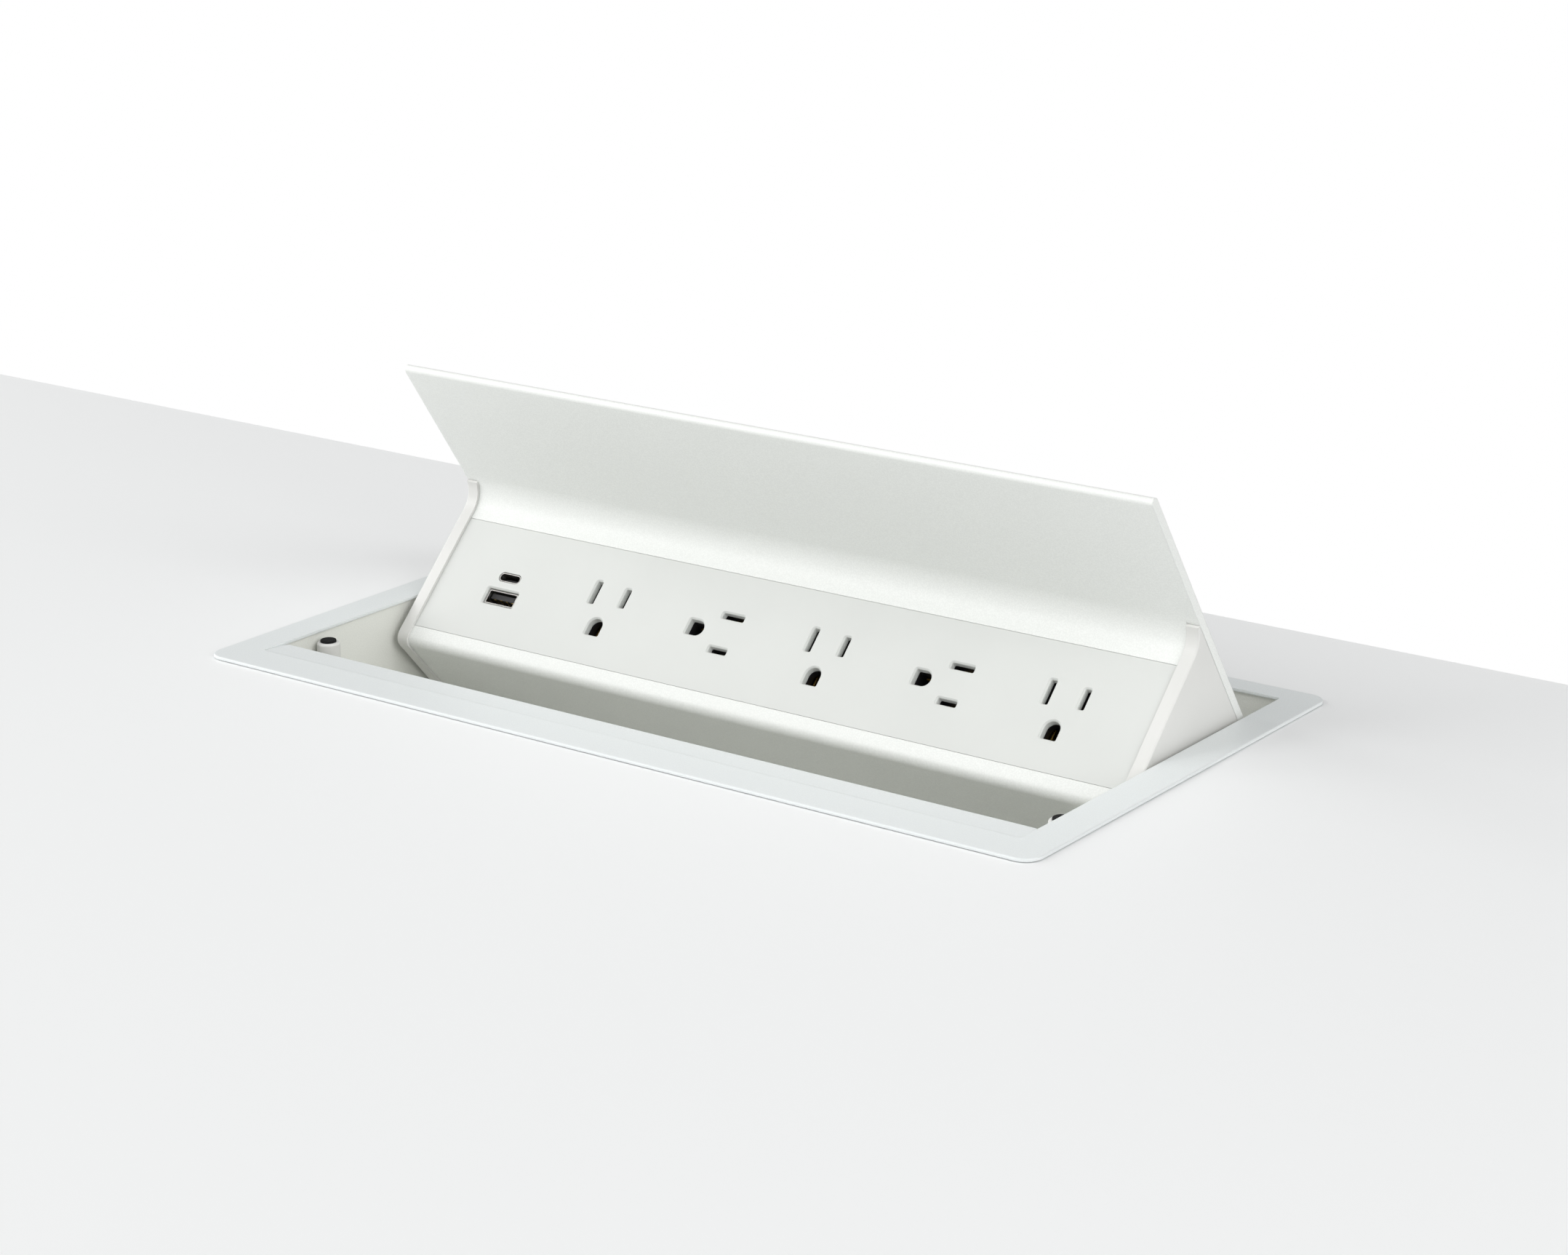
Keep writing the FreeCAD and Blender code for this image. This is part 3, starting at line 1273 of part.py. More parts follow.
def build_outlets():
    """Outlet bodies, contacts, terminals and charging sockets."""
    for index in range(OUTLET_COUNT):
        keep_open("outlet_body_" + str(index + 1), outlet_body(index))
    neutral = on_panel(bus_bar(0, NEUTRAL_BUS_V, BUS_N, LEAF_GAP))
    line = on_panel(bus_bar(1, LINE_BUS_V, BUS_N, LEAF_GAP))
    ground = on_panel(bus_bar(2, PANEL_MIDDLE_V, GROUND_BUS_N, GROUND_LEAF_GAP))
    keep_open("neutral_bus_bar", neutral)
    keep_open("line_bus_bar", line)
    keep_open("ground_bus_bar", ground)
    screws = terminal_screws()
    keep_open("terminal_block", terminal_block([neutral, line, ground], screws))
    keep_open("terminal_screws", *screws)
    keep_open("usb_c_shell", usb_c_shell())
    keep_open("usb_a_shell", usb_a_shell())
    keep_open("usb_c_tongue", usb_c_tongue())
    keep_open("usb_a_tongue", usb_a_tongue())
    keep_open("usb_board", usb_board())
    keep_open("usb_transformer", usb_transformer())
    keep_open("usb_leads", *usb_leads())


def main():
    """Build every node and write it out."""
    build_tub()
    build_clamps()
    build_beam()
    build_outlets()
    os.makedirs("parts", exist_ok=True)
    for name, shape in PARTS.items():
        shape.exportStep("parts/" + name + ".step")
        print(name, len(shape.Solids), round(shape.Volume, 1), shape.isValid())


main()
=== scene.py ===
"""Looks of an in-desk power trough with a tilting beam of outlets.

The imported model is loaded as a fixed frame. One class each for the studio, the tub,
the beam, the outlet row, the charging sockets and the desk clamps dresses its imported
pieces with finishes, and adds finer pieces where a fastener, a knob or a contact
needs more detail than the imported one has.
"""

import logging
import math
from abc import ABC, abstractmethod
from dataclasses import dataclass
from enum import Enum
from typing import Any, Callable

import bmesh
import bpy
from mathutils import Matrix, Vector


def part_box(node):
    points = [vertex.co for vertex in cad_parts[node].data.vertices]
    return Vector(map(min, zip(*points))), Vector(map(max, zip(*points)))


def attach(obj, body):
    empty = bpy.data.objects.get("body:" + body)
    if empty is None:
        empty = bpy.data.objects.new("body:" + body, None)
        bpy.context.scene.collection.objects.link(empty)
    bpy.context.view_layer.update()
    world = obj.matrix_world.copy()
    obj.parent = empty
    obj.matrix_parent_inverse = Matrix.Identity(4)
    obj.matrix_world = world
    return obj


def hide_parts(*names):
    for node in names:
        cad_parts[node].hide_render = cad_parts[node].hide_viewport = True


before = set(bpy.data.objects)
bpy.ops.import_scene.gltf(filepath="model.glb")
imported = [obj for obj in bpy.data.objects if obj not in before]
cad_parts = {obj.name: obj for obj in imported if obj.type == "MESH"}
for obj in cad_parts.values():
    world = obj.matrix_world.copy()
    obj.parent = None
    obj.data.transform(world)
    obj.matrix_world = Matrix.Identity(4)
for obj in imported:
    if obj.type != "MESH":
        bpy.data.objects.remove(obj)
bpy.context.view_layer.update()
LOG = logging.getLogger("power_trough")

Colour = tuple[float, float, float, float]
Triple = tuple[float, float, float]
Outline = list[tuple[float, float]]
Socket = bpy.types.NodeSocket
Outputs = dict[str, Socket]
Node = bpy.types.Node
Mesh = bpy.types.Mesh
Thing = bpy.types.Object
FLOAT = "NodeSocketFloat"
VECTOR = "NodeSocketVector"
CREASE = math.radians(35.0)


class Body(Enum):
    """Bodies of the trough that carry added pieces."""

    TUB = "tub"
    BEAM = "beam"
    KNOB_RIGHT = "knob_right"
    KNOB_LEFT = "knob_left"


class Side(Enum):
    """Ends of the trough, with the sign of X at each."""

    RIGHT = 1
    LEFT = -1

    @property
    def word(self) -> str:
        """Name of the end as node names spell it."""
        return self.name.lower()


class Slot(Enum):
    """Material slots of the record."""

    TRIM_PAINT = "trim_paint"
    TUB_PAINT = "tub_paint"
    BEAM_PAINT = "beam_paint"
    WHITE_PLASTIC = "white_plastic"
    BLACK_RUBBER = "black_rubber"
    ZINC_STEEL = "zinc_steel"
    BEARING_PLASTIC = "bearing_plastic"
    BLACK_PLASTIC = "black_plastic"
    BRASS_STRIP = "brass_strip"
    PORT_STEEL = "port_steel"
    CIRCUIT_BOARD = "circuit_board"
    FERRITE = "ferrite"
    LEAD_INSULATION = "lead_insulation"


def tint(red: int, green: int, blue: int) -> Colour:
    """Turns a screen colour into scene-linear values.

    Args:
        red: Red, 0 to 255.
        green: Green, 0 to 255.
        blue: Blue, 0 to 255.

    Returns:
        The colour with full alpha.
    """

    def linear(level: int) -> float:
        """One channel without its display curve."""
        share = level / 255
        return share / 12.92 if share <= 0.04045 else ((share + 0.055) / 1.055) ** 2.4

    return (linear(red), linear(green), linear(blue), 1.0)


# ------------------------------------------------------------------ node trees


class Sheet:
    """A node tree that is being filled in."""

    def __init__(self, tree: bpy.types.NodeTree) -> None:
        """Starts on a tree, which it empties."""
        self.tree = tree
        self.tree.nodes.clear()

    def add(self, kind: str, inputs: dict[Any, Any] | None = None, **settings: Any) -> Node:
        """Adds one node.

        Args:
            kind: Blender's name of the node type.
            inputs: Values or source sockets, by input name or number.
            **settings: Properties of the node itself.

        Returns:
            The new node.
        """
        node = self.tree.nodes.new(kind)
        for name, value in settings.items():
            setattr(node, name, value)
        for name, value in (inputs or {}).items():
            if isinstance(value, Socket):
                self.tree.links.new(value, node.inputs[name])
            else:
                node.inputs[name].default_value = value
        return node

    def math(self, operation: str, *values: Any) -> Socket:
        """Adds a Math node on numbers or sockets, and returns the result's socket."""
        return self.add("ShaderNodeMath", dict(enumerate(values)), operation=operation).outputs[0]

    def vector(self, operation: str, inputs: dict[Any, Any], output: str = "Vector") -> Socket:
        """Adds a Vector Math node and returns the socket of the named output."""
        return self.add("ShaderNodeVectorMath", inputs, operation=operation).outputs[output]

    def noise(self, place: Any, scale: Any, detail: float, **more: float) -> Socket:
        """Adds a noise and returns its value's socket."""
        inputs = {"Vector": place, "Scale": scale, "Detail": detail, **more}
        return self.add("ShaderNodeTexNoise", inputs).outputs[0]

    def contrast(self, value: Socket) -> Socket:
        """Stretches the middle of a noise's range to 0 to 1."""
        return self.spread(value, 0.0, 1.0, 0.3, 0.7)

    def set_on(self, points: Socket, shape: Socket, turn: Socket) -> Socket:
        """Sets a turned copy of a shape on every point, and returns the instances."""
        inputs = {"Points": points, "Instance": shape, "Rotation": turn}
        return self.add("GeometryNodeInstanceOnPoints", inputs).outputs[0]

    def spread(self, value: Socket, low: float, high: float,
               start: float = 0.0, end: float = 1.0) -> Socket:
        """Maps a value that goes from start to end onto low to high."""
        inputs = {0: value, 1: start, 2: end, 3: low, 4: high}
        return self.add("ShaderNodeMapRange", inputs).outputs[0]

    def blend(self, share: Socket, first: Any, second: Any) -> Socket:
        """Mixes two colours: the first where share is 0, the second where it is 1."""
        node = self.add("ShaderNodeMix", {0: share, 6: first, 7: second}, data_type="RGBA")
        return node.outputs[2]


class Effect(ABC):
    """A shader node group that several finishes share, built once."""

    title: str = ""
    takes: tuple[tuple[str, str], ...] = ()
    gives: tuple[tuple[str, str], ...] = ()
    _made: dict[str, bpy.types.NodeTree] = {}

    @classmethod
    def tree(cls) -> bpy.types.NodeTree:
        """Builds the group on first use.

        Returns:
            The node group.
        """
        if cls.title not in cls._made:
            group = bpy.data.node_groups.new(cls.title, "ShaderNodeTree")
            for name, kind in cls.takes:
                group.interface.new_socket(name=name, in_out="INPUT", socket_type=kind)
            for name, kind in cls.gives:
                group.interface.new_socket(name=name, in_out="OUTPUT", socket_type=kind)
            sheet = Sheet(group)
            start = sheet.add("NodeGroupInput")
            end = sheet.add("NodeGroupOutput")
            for name, socket in cls.fill(sheet, start.outputs).items():
                group.links.new(socket, end.inputs[name])
            cls._made[cls.title] = group
        return cls._made[cls.title]

    @classmethod
    @abstractmethod
    def fill(cls, sheet: Sheet, given: Any) -> Outputs:
        """Draws the group's inside and returns the socket for each output name."""

    @classmethod
    def place(cls, sheet: Sheet, **values: Any) -> Any:
        """Puts the group into a material, given each input, and returns its outputs."""
        return sheet.add("ShaderNodeGroup", values, node_tree=cls.tree()).outputs


def moved(sheet: Sheet, given: Any) -> Socket:
    """Shifts a group's place by its seed, so that no two finishes share a pattern."""
    return sheet.vector("ADD", {0: given["Place"], 1: given["Seed"]})


class OrangePeel(Effect):
    """Fine pebbled skin of baked powder, with flecks and slow cloudiness."""

    title = "orange_peel"
    takes = (("Place", VECTOR), ("Pebble", FLOAT), ("Cloud", FLOAT), ("Seed", FLOAT))
    gives = (("Height", FLOAT), ("Fleck", FLOAT), ("Cloudiness", FLOAT))
    finer_by = 2.3
    finer_share = 0.35
    fleck_from = 0.38
    fleck_to = 0.66

    @classmethod
    def fill(cls, sheet: Sheet, given: Any) -> Outputs:
        """Draws pebbles, flecks and clouds from three noises."""
        pebble = sheet.math("DIVIDE", 1.0, given["Pebble"])
        cloud = sheet.math("DIVIDE", 1.0, given["Cloud"])
        place = moved(sheet, given)
        coarse = sheet.noise(place, pebble, 1.0, Roughness=0.55)
        fine = sheet.noise(place, sheet.math("MULTIPLY", pebble, cls.finer_by), 0.0)
        slow = sheet.noise(place, cloud, 2.0)
        height = sheet.math("MULTIPLY_ADD", fine, cls.finer_share, coarse)
        fleck = sheet.spread(fine, 0.0, 1.0, cls.fleck_from, cls.fleck_to)
        return {"Height": height, "Fleck": fleck, "Cloudiness": sheet.contrast(slow)}


class SparkGrain(Effect):
    """Even fine grain that a spark-eroded mould leaves on plastic."""

    title = "spark_grain"
    takes = (("Place", VECTOR), ("Grain", FLOAT), ("Flow", FLOAT), ("Seed", FLOAT))
    gives = (("Height", FLOAT), ("Shade", FLOAT))

    @classmethod
    def fill(cls, sheet: Sheet, given: Any) -> Outputs:
        """Draws fine grain under a slow flow of shade."""
        place = moved(sheet, given)
        grain = sheet.noise(place, sheet.math("DIVIDE", 1.0, given["Grain"]), 1.0)
        slow = sheet.noise(place, sheet.math("DIVIDE", 1.0, given["Flow"]), 1.0)
        return {"Height": grain, "Shade": sheet.contrast(slow)}


class SoftArris(Effect):
    """Rounded normal at sharp edges, and a mask of where they are."""

    title = "soft_arris"
    takes = (("Radius", FLOAT),)
    gives = (("Normal", VECTOR), ("Edge", FLOAT))
    samples = 4
    full_turn = 0.75
    least_turn = 0.98

    @classmethod
    def fill(cls, sheet: Sheet, given: Any) -> Outputs:
        """Compares the rounded normal with the true one."""
        bevel = sheet.add("ShaderNodeBevel", {"Radius": given["Radius"]}, samples=cls.samples)
        rounded = bevel.outputs[0]
        true = sheet.add("ShaderNodeNewGeometry").outputs["Normal"]
        likeness = sheet.vector("DOT_PRODUCT", {0: rounded, 1: true}, "Value")
        edge = sheet.spread(likeness, 1.0, 0.0, cls.full_turn, cls.least_turn)
        return {"Normal": rounded, "Edge": edge}


class DrawnLines(Effect):
    """Long fine lines left by rolling, drawing or brushing a metal."""

    title = "drawn_lines"
    takes = (("Place", VECTOR), ("Run", FLOAT), ("Line", FLOAT), ("Seed", FLOAT))
    gives = (("Height", FLOAT), ("Shade", FLOAT))

    @classmethod
    def fill(cls, sheet: Sheet, given: Any) -> Outputs:
        """Stretches a noise along X."""
        along = sheet.math("DIVIDE", 1.0, given["Run"])
        across = sheet.math("DIVIDE", 1.0, given["Line"])
        pull = sheet.add("ShaderNodeCombineXYZ", {0: along, 1: across, 2: across})
        place = sheet.vector("MULTIPLY", {0: moved(sheet, given), 1: pull.outputs[0]})
        lines = sheet.noise(place, 1.0, 2.0)
        return {"Height": lines, "Shade": sheet.contrast(lines)}


class ZincSpangle(Effect):
    """Crystal patches of a zinc layer."""

    title = "zinc_spangle"
    takes = (("Place", VECTOR), ("Crystal", FLOAT), ("Seed", FLOAT))
    gives = (("Facet", FLOAT), ("Height", FLOAT))

    @classmethod
    def fill(cls, sheet: Sheet, given: Any) -> Outputs:
        """Gives each crystal its own grey."""
        scale = sheet.math("DIVIDE", 1.0, given["Crystal"])
        cells = sheet.add("ShaderNodeTexVoronoi", {"Vector": moved(sheet, given), "Scale": scale})
        grey = sheet.add("ShaderNodeSeparateColor", {0: cells.outputs["Color"]})
        return {"Facet": grey.outputs[0], "Height": cells.outputs["Distance"]}


# ------------------------------------------------------------------ finishes


@dataclass(frozen=True)
class Finish(ABC):
    """A surface finish. Lengths are in metres."""

    name: str
    colour: Colour
    seed: float = 1.0
    arris: float = 0.00025

    def material(self) -> bpy.types.Material:
        """Builds the finish on first use.

        Returns:
            The material.
        """
        made = bpy.data.materials.get(self.name)
        if made is None:
            made = bpy.data.materials.new(self.name)
            made.use_nodes = True
            sheet = Sheet(made.node_tree)
            place = sheet.add("ShaderNodeTexCoord").outputs["Object"]
            shader = self.draw(sheet, place)
            sheet.add("ShaderNodeOutputMaterial", {"Surface": shader.outputs[0]})
            made.diffuse_color = self.colour
        return made

    @abstractmethod
    def draw(self, sheet: Sheet, place: Socket) -> Node:
        """Draws the finish and returns its shader node."""

    def shade(self, factor: float) -> Colour:
        """The finish's own colour, lightened or darkened by a factor."""
        red, green, blue, alpha = self.colour
        return (min(red * factor, 1.0), min(green * factor, 1.0), min(blue * factor, 1.0), alpha)

    @staticmethod
    def shader(sheet: Sheet, colour: Any, gloss: Any, normal: Any, **plain: float) -> Node:
        """Adds the shader.

        Args:
            sheet: The material's sheet.
            colour: Socket of the colour.
            gloss: Socket of the roughness.
            normal: Socket of the normal.
            **plain: Shader values that are the same all over, with _ for each space.

        Returns:
            The shader's node.
        """
        inputs = {"Base Color": colour, "Roughness": gloss, "Normal": normal}
        inputs.update({name.replace("_", " "): value for name, value in plain.items()})
        return sheet.add("ShaderNodeBsdfPrincipled", inputs)

    def skin(self, sheet: Sheet, height: Socket, depth: float,
             soft: Any = None) -> Socket:
        """Relief over softened edges.

        Args:
            sheet: The material's sheet.
            height: The relief, 0 to 1.
            depth: How deep the relief is.
            soft: Outputs of a soft arris that the finish already has.

        Returns:
            The normal's socket.
        """
        soft = soft or SoftArris.place(sheet, Radius=self.arris)
        bump = sheet.add("ShaderNodeBump", {"Strength": 1.0, "Distance": depth, "Height": height,
                                            "Normal": soft["Normal"]})
        return bump.outputs[0]


@dataclass(frozen=True)
class PowderCoat(Finish):
    """Baked powder coat with orange peel and pearl flecks."""

    roughness: float = 0.46
    pebble: float = 0.0009
    depth: float = 0.000012
    fleck: float = 0.03
    cloud: float = 0.06
    cloud_share: float = 0.35
    # painted highlight: how much the colour is lightened along sharp edges
    edge_highlight: float = 0.12

    def draw(self, sheet: Sheet, place: Socket) -> Node:
        """Draws the coat: pebbles, flecks, clouds and a painted highlight that pales its sharp
        edges.
        """
        peel = OrangePeel.place(sheet, Place=place, Pebble=self.pebble, Cloud=self.cloud,
                                Seed=self.seed)
        body = sheet.blend(peel["Fleck"], self.shade(1 - self.fleck), self.shade(1 + self.fleck))
        clouded = sheet.math("MULTIPLY", peel["Cloudiness"], self.cloud_share)
        coated = sheet.blend(clouded, body, self.shade(1 - self.fleck / 2))
        soft = SoftArris.place(sheet, Radius=self.arris)
        # painted highlight: the colour is lightened along sharp edges
        colour = sheet.blend(soft["Edge"], coated, self.shade(1 + self.edge_highlight))
        gloss = sheet.spread(peel["Fleck"], self.roughness + 0.04, self.roughness - 0.03)
        normal = self.skin(sheet, peel["Height"], self.depth, soft)
        return self.shader(sheet, colour, gloss, normal, Specular_IOR_Level=0.5)


@dataclass(frozen=True)
class MouldedPlastic(Finish):
    """Moulded plastic with a fine spark grain."""

    roughness: float = 0.45
    grain: float = 0.00035
    depth: float = 0.000004
    flow: float = 0.03
    sheen: float = 0.03

    def draw(self, sheet: Sheet, place: Socket) -> Node:
        """Draws the plastic: grain in the relief, flow in the colour and the gloss."""
        grain = SparkGrain.place(sheet, Place=place, Grain=self.grain, Flow=self.flow,
                                 Seed=self.seed)
        colour = sheet.blend(grain["Shade"], self.shade(1 - self.sheen), self.shade(1 + self.sheen))
        gloss = sheet.spread(grain["Shade"], self.roughness - 0.04, self.roughness + 0.05)
        normal = self.skin(sheet, grain["Height"], self.depth)
        return self.shader(sheet, colour, gloss, normal, Specular_IOR_Level=0.45)


@dataclass(frozen=True)
class SoftRubber(Finish):
    """Dull black rubber with a little bloom."""

    roughness: float = 0.62
    grain: float = 0.0005
    depth: float = 0.00002
    cloud: float = 0.004
    bloom: float = 1.9

    def draw(self, sheet: Sheet, place: Socket) -> Node:
        """Draws the rubber: bloom in the colour, a fine pebble in the relief."""
        peel = OrangePeel.place(sheet, Place=place, Pebble=self.grain, Cloud=self.cloud,
                                Seed=self.seed)
        colour = sheet.blend(peel["Cloudiness"], self.colour, self.shade(self.bloom))
        gloss = sheet.spread(peel["Fleck"], self.roughness, self.roughness + 0.15)
        normal = self.skin(sheet, peel["Height"], self.depth)
        return self.shader(sheet, colour, gloss, normal, Specular_IOR_Level=0.3)


@dataclass(frozen=True)
class ZincPlate(Finish):
    """Zinc-plated steel with pale crystals and drawn lines."""

    roughness: float = 0.34
    crystal: float = 0.0022
    dark_facet: float = 0.86
    pale_facet: float = 1.08
    run: float = 0.012
    line: float = 0.00018
    depth: float = 0.000005

    def draw(self, sheet: Sheet, place: Socket) -> Node:
        """Draws the zinc: crystals in the colour, drawn lines in the gloss and relief."""
        spangle = ZincSpangle.place(sheet, Place=place, Crystal=self.crystal, Seed=self.seed)
        lines = DrawnLines.place(sheet, Place=place, Run=self.run, Line=self.line, Seed=self.seed)
        colour = sheet.blend(spangle["Facet"], self.shade(self.dark_facet),
                             self.shade(self.pale_facet))
        gloss = sheet.spread(lines["Shade"], self.roughness - 0.07, self.roughness + 0.1)
        normal = self.skin(sheet, lines["Height"], self.depth)
        return self.shader(sheet, colour, gloss, normal, Metallic=1.0)


@dataclass(frozen=True)
class DrawnMetal(Finish):
    """Bare strip metal: spring brass, or the nickel-plated shell of a socket."""

    roughness: float = 0.28
    tarnish: float = 0.82
    run: float = 0.006
    line: float = 0.00012
    depth: float = 0.000003

    def draw(self, sheet: Sheet, place: Socket) -> Node:
        """Draws the metal: rolling lines with a light tarnish between them."""
        lines = DrawnLines.place(sheet, Place=place, Run=self.run, Line=self.line, Seed=self.seed)
        colour = sheet.blend(lines["Shade"], self.shade(self.tarnish), self.colour)
        gloss = sheet.spread(lines["Shade"], self.roughness + 0.1, self.roughness - 0.06)
        normal = self.skin(sheet, lines["Height"], self.depth)
        return self.shader(sheet, colour, gloss, normal, Metallic=1.0)


@dataclass(frozen=True)
class SolderMask(Finish):
    """Lacquered circuit board with tracks that show through its mask."""

    track: float = 0.0016
    track_shade: float = 1.7
    lacquer: float = 0.22
    bare: float = 0.34
    depth: float = 0.00002

    def draw(self, sheet: Sheet, place: Socket) -> Node:
        """Draws the board: square cells for pads and tracks under a glossy lacquer."""
        cells = sheet.add("ShaderNodeTexVoronoi", {"Vector": place, "Scale": 1 / self.track},
                          distance="CHEBYCHEV")
        tracks = sheet.spread(cells.outputs["Distance"], 1.0, 0.0, 0.12, 0.2)
        colour = sheet.blend(tracks, self.colour, self.shade(self.track_shade))
        gloss = sheet.spread(tracks, self.lacquer, self.bare)
        return self.shader(sheet, colour, gloss, self.skin(sheet, tracks, self.depth))


@dataclass(frozen=True)
class Laminate(Finish):
    """Matt pale laminate of a desktop."""

    roughness: float = 0.6
    scale: float = 3.0
    dip: float = 0.996

    def draw(self, sheet: Sheet, place: Socket) -> Node:
        """Draws the laminate: a slow change of shade and gloss."""
        slow = sheet.noise(place, self.scale, 1.0)
        colour = sheet.blend(slow, self.shade(self.dip), self.colour)
        gloss = sheet.spread(slow, self.roughness, self.roughness + 0.04)
        return sheet.add("ShaderNodeBsdfPrincipled", {
            "Base Color": colour, "Roughness": gloss, "Specular IOR Level": 0.3})


class Finishes:
    """Every finish of the trough, by the material slot that it belongs to."""

    by_slot: dict[Slot, Finish] = {
        # the trim's sharp edges get the strongest painted highlight
        Slot.TRIM_PAINT: PowderCoat("trim_powder_coat", tint(232, 236, 236), 1.0,
                                    arris=0.0005, roughness=0.44, fleck=0.02, edge_highlight=0.2),
        Slot.TUB_PAINT: PowderCoat("tub_powder_coat", tint(236, 237, 231), 2.0,
                                   roughness=0.50, depth=0.000014),
        Slot.BEAM_PAINT: PowderCoat("beam_powder_coat", tint(238, 240, 237), 3.0,
                                    arris=0.0004, roughness=0.48, pebble=0.0011,
                                    depth=0.000018),
        Slot.WHITE_PLASTIC: MouldedPlastic("white_moulding", tint(225, 225, 222), 4.0),
        Slot.BLACK_RUBBER: SoftRubber("black_rubber_pad", tint(7, 7, 8), 5.0, roughness=0.7),
        Slot.ZINC_STEEL: ZincPlate("zinc_plated_sheet", tint(186, 190, 194), 6.0),
        Slot.BEARING_PLASTIC: MouldedPlastic("bearing_plastic", tint(214, 212, 202), 7.0,
                                             roughness=0.35, sheen=0.05),
        Slot.BLACK_PLASTIC: MouldedPlastic("black_moulding", tint(30, 30, 32), 8.0,
                                           roughness=0.5, depth=0.00001, sheen=0.2),
        Slot.BRASS_STRIP: DrawnMetal("spring_brass", tint(214, 176, 96), 9.0),
        Slot.PORT_STEEL: DrawnMetal("nickel_shell", tint(206, 204, 200), 10.0, roughness=0.24,
                                    tarnish=0.9),
        Slot.CIRCUIT_BOARD: SolderMask("board_lacquer", tint(24, 74, 52), 11.0),
        Slot.FERRITE: SoftRubber("sintered_ferrite", tint(46, 46, 50), 12.0, roughness=0.5),
        Slot.LEAD_INSULATION: MouldedPlastic("lead_jacket", tint(60, 60, 66), 13.0,
                                             roughness=0.4, sheen=0.15),
    }
    face_strip = MouldedPlastic("face_strip_moulding", tint(218, 220, 217), 14.0, roughness=0.5,
                                grain=0.0003, depth=0.000006, sheen=0.012)
    gold_pad = DrawnMetal("gold_flash", tint(226, 190, 110), 15.0, roughness=0.2)


# ------------------------------------------------------------------ mesh helpers


@dataclass(frozen=True)
class Seat:
    """A place on the object with the direction that faces away from it."""

    place: Vector
    out: Vector


def islands(node: str) -> list[list[Vector]]:
    """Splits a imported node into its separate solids.

    Args:
        node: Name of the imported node.

    Returns:
        The vertices of each solid, sorted by place so that every run gives one order.
    """
    work = bmesh.new()
    work.from_mesh(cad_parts[node].data)
    bmesh.ops.remove_doubles(work, verts=work.verts, dist=1e-6)
    left = set(work.verts)
    found = []
    while left:
        start = left.pop()
        group = [start]
        waiting = [start]
        while waiting:
            here = waiting.pop()
            for edge in here.link_edges:
                other = edge.other_vert(here)
                if other in left:
                    left.remove(other)
                    group.append(other)
                    waiting.append(other)
        found.append([vert.co.copy() for vert in group])
    work.free()
    return sorted(found, key=lambda points: [round(level, 5) for level in corners(points)[0]])


def corners(points: list[Vector]) -> tuple[Vector, Vector]:
    """Lowest and highest corner of some points."""
    low = Vector([min(point[axis] for point in points) for axis in range(3)])
    high = Vector([max(point[axis] for point in points) for axis in range(3)])
    return low, high


def lathe(name: str, outline: Outline, turns: int = 40) -> Mesh:
    """Turns an outline round Z into a closed mesh.

    Args:
        name: Name of the mesh.
        outline: (radius, height) pairs from one end of the axis to the other.
        turns: Number of steps round the axis.

    Returns:
        The mesh, with smooth faces and sharp creases.
    """
    work = bmesh.new()
    path = [work.verts.new((radius, 0.0, height)) for radius, height in outline]
    edges = [work.edges.new(pair) for pair in zip(path, path[1:])]
    bmesh.ops.spin(work, geom=path + edges, axis=(0, 0, 1), cent=(0, 0, 0), angle=math.tau,
                   steps=turns, use_merge=True)
    bmesh.ops.remove_doubles(work, verts=work.verts, dist=1e-7)
    bmesh.ops.recalc_face_normals(work, faces=work.faces)
    return finished(work, name)


def creased(mesh: Mesh) -> Mesh:
    """Smooths a mesh's faces, leaves its sharp edges sharp and returns it."""
    mesh.shade_smooth()
    mesh.set_sharp_from_angle(angle=CREASE)
    return mesh


def finished(work: bmesh.types.BMesh, name: str) -> Mesh:
    """Writes a bmesh out as a creased mesh, and frees it.

    Args:
        work: The bmesh.
        name: Name of the mesh.

    Returns:
        The mesh.
    """
    mesh = bpy.data.meshes.new(name)
    work.to_mesh(mesh)
    work.free()
    return creased(mesh)


def linked(name: str, data: Any) -> Thing:
    """Makes an object of some data and links it to the scene."""
    made = bpy.data.objects.new(name, data)
    bpy.context.scene.collection.objects.link(made)
    return made


def baked(holder: Thing) -> Mesh:
    """Makes a plain mesh of an object with its modifiers applied."""
    bpy.context.view_layer.update()
    graph = bpy.context.evaluated_depsgraph_get()
    return bpy.data.meshes.new_from_object(holder.evaluated_get(graph), depsgraph=graph)


def add_piece(name: str, mesh: Mesh, body: Body, slot: Slot,
              finish: Finish | None = None, stands_for: tuple[str, ...] = ()) -> Thing:
    """Adds a finished piece to the object.

    Args:
        name: Name of the piece.
        mesh: Its mesh, already in place.
        body: The body that it rides on.
        slot: The record's slot that its finish belongs to.
        finish: Its finish, if it isn't the slot's own.
        stands_for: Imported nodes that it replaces.

    Returns:
        The new object.
    """
    piece = linked(name, mesh)
    mesh.materials.clear()
    mesh.materials.append((finish or Finishes.by_slot[slot]).material())
    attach(piece, body.value)
    if stands_for:
        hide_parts(*stands_for)
    LOG.info("made %s with %d faces on %s", name, len(mesh.polygons), body.value)
    return piece


def dress(kind: Slot | Finish, *nodes: str) -> None:
    """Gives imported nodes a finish.

    Args:
        kind: The finish, or the slot whose own finish it is.
        *nodes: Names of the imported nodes.
    """
    finish = Finishes.by_slot[kind] if isinstance(kind, Slot) else kind
    for node in nodes:
        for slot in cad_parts[node].material_slots:
            slot.material = finish.material()
        LOG.info("dressed %s in %s", node, finish.name)


# ------------------------------------------------------------------ repeats


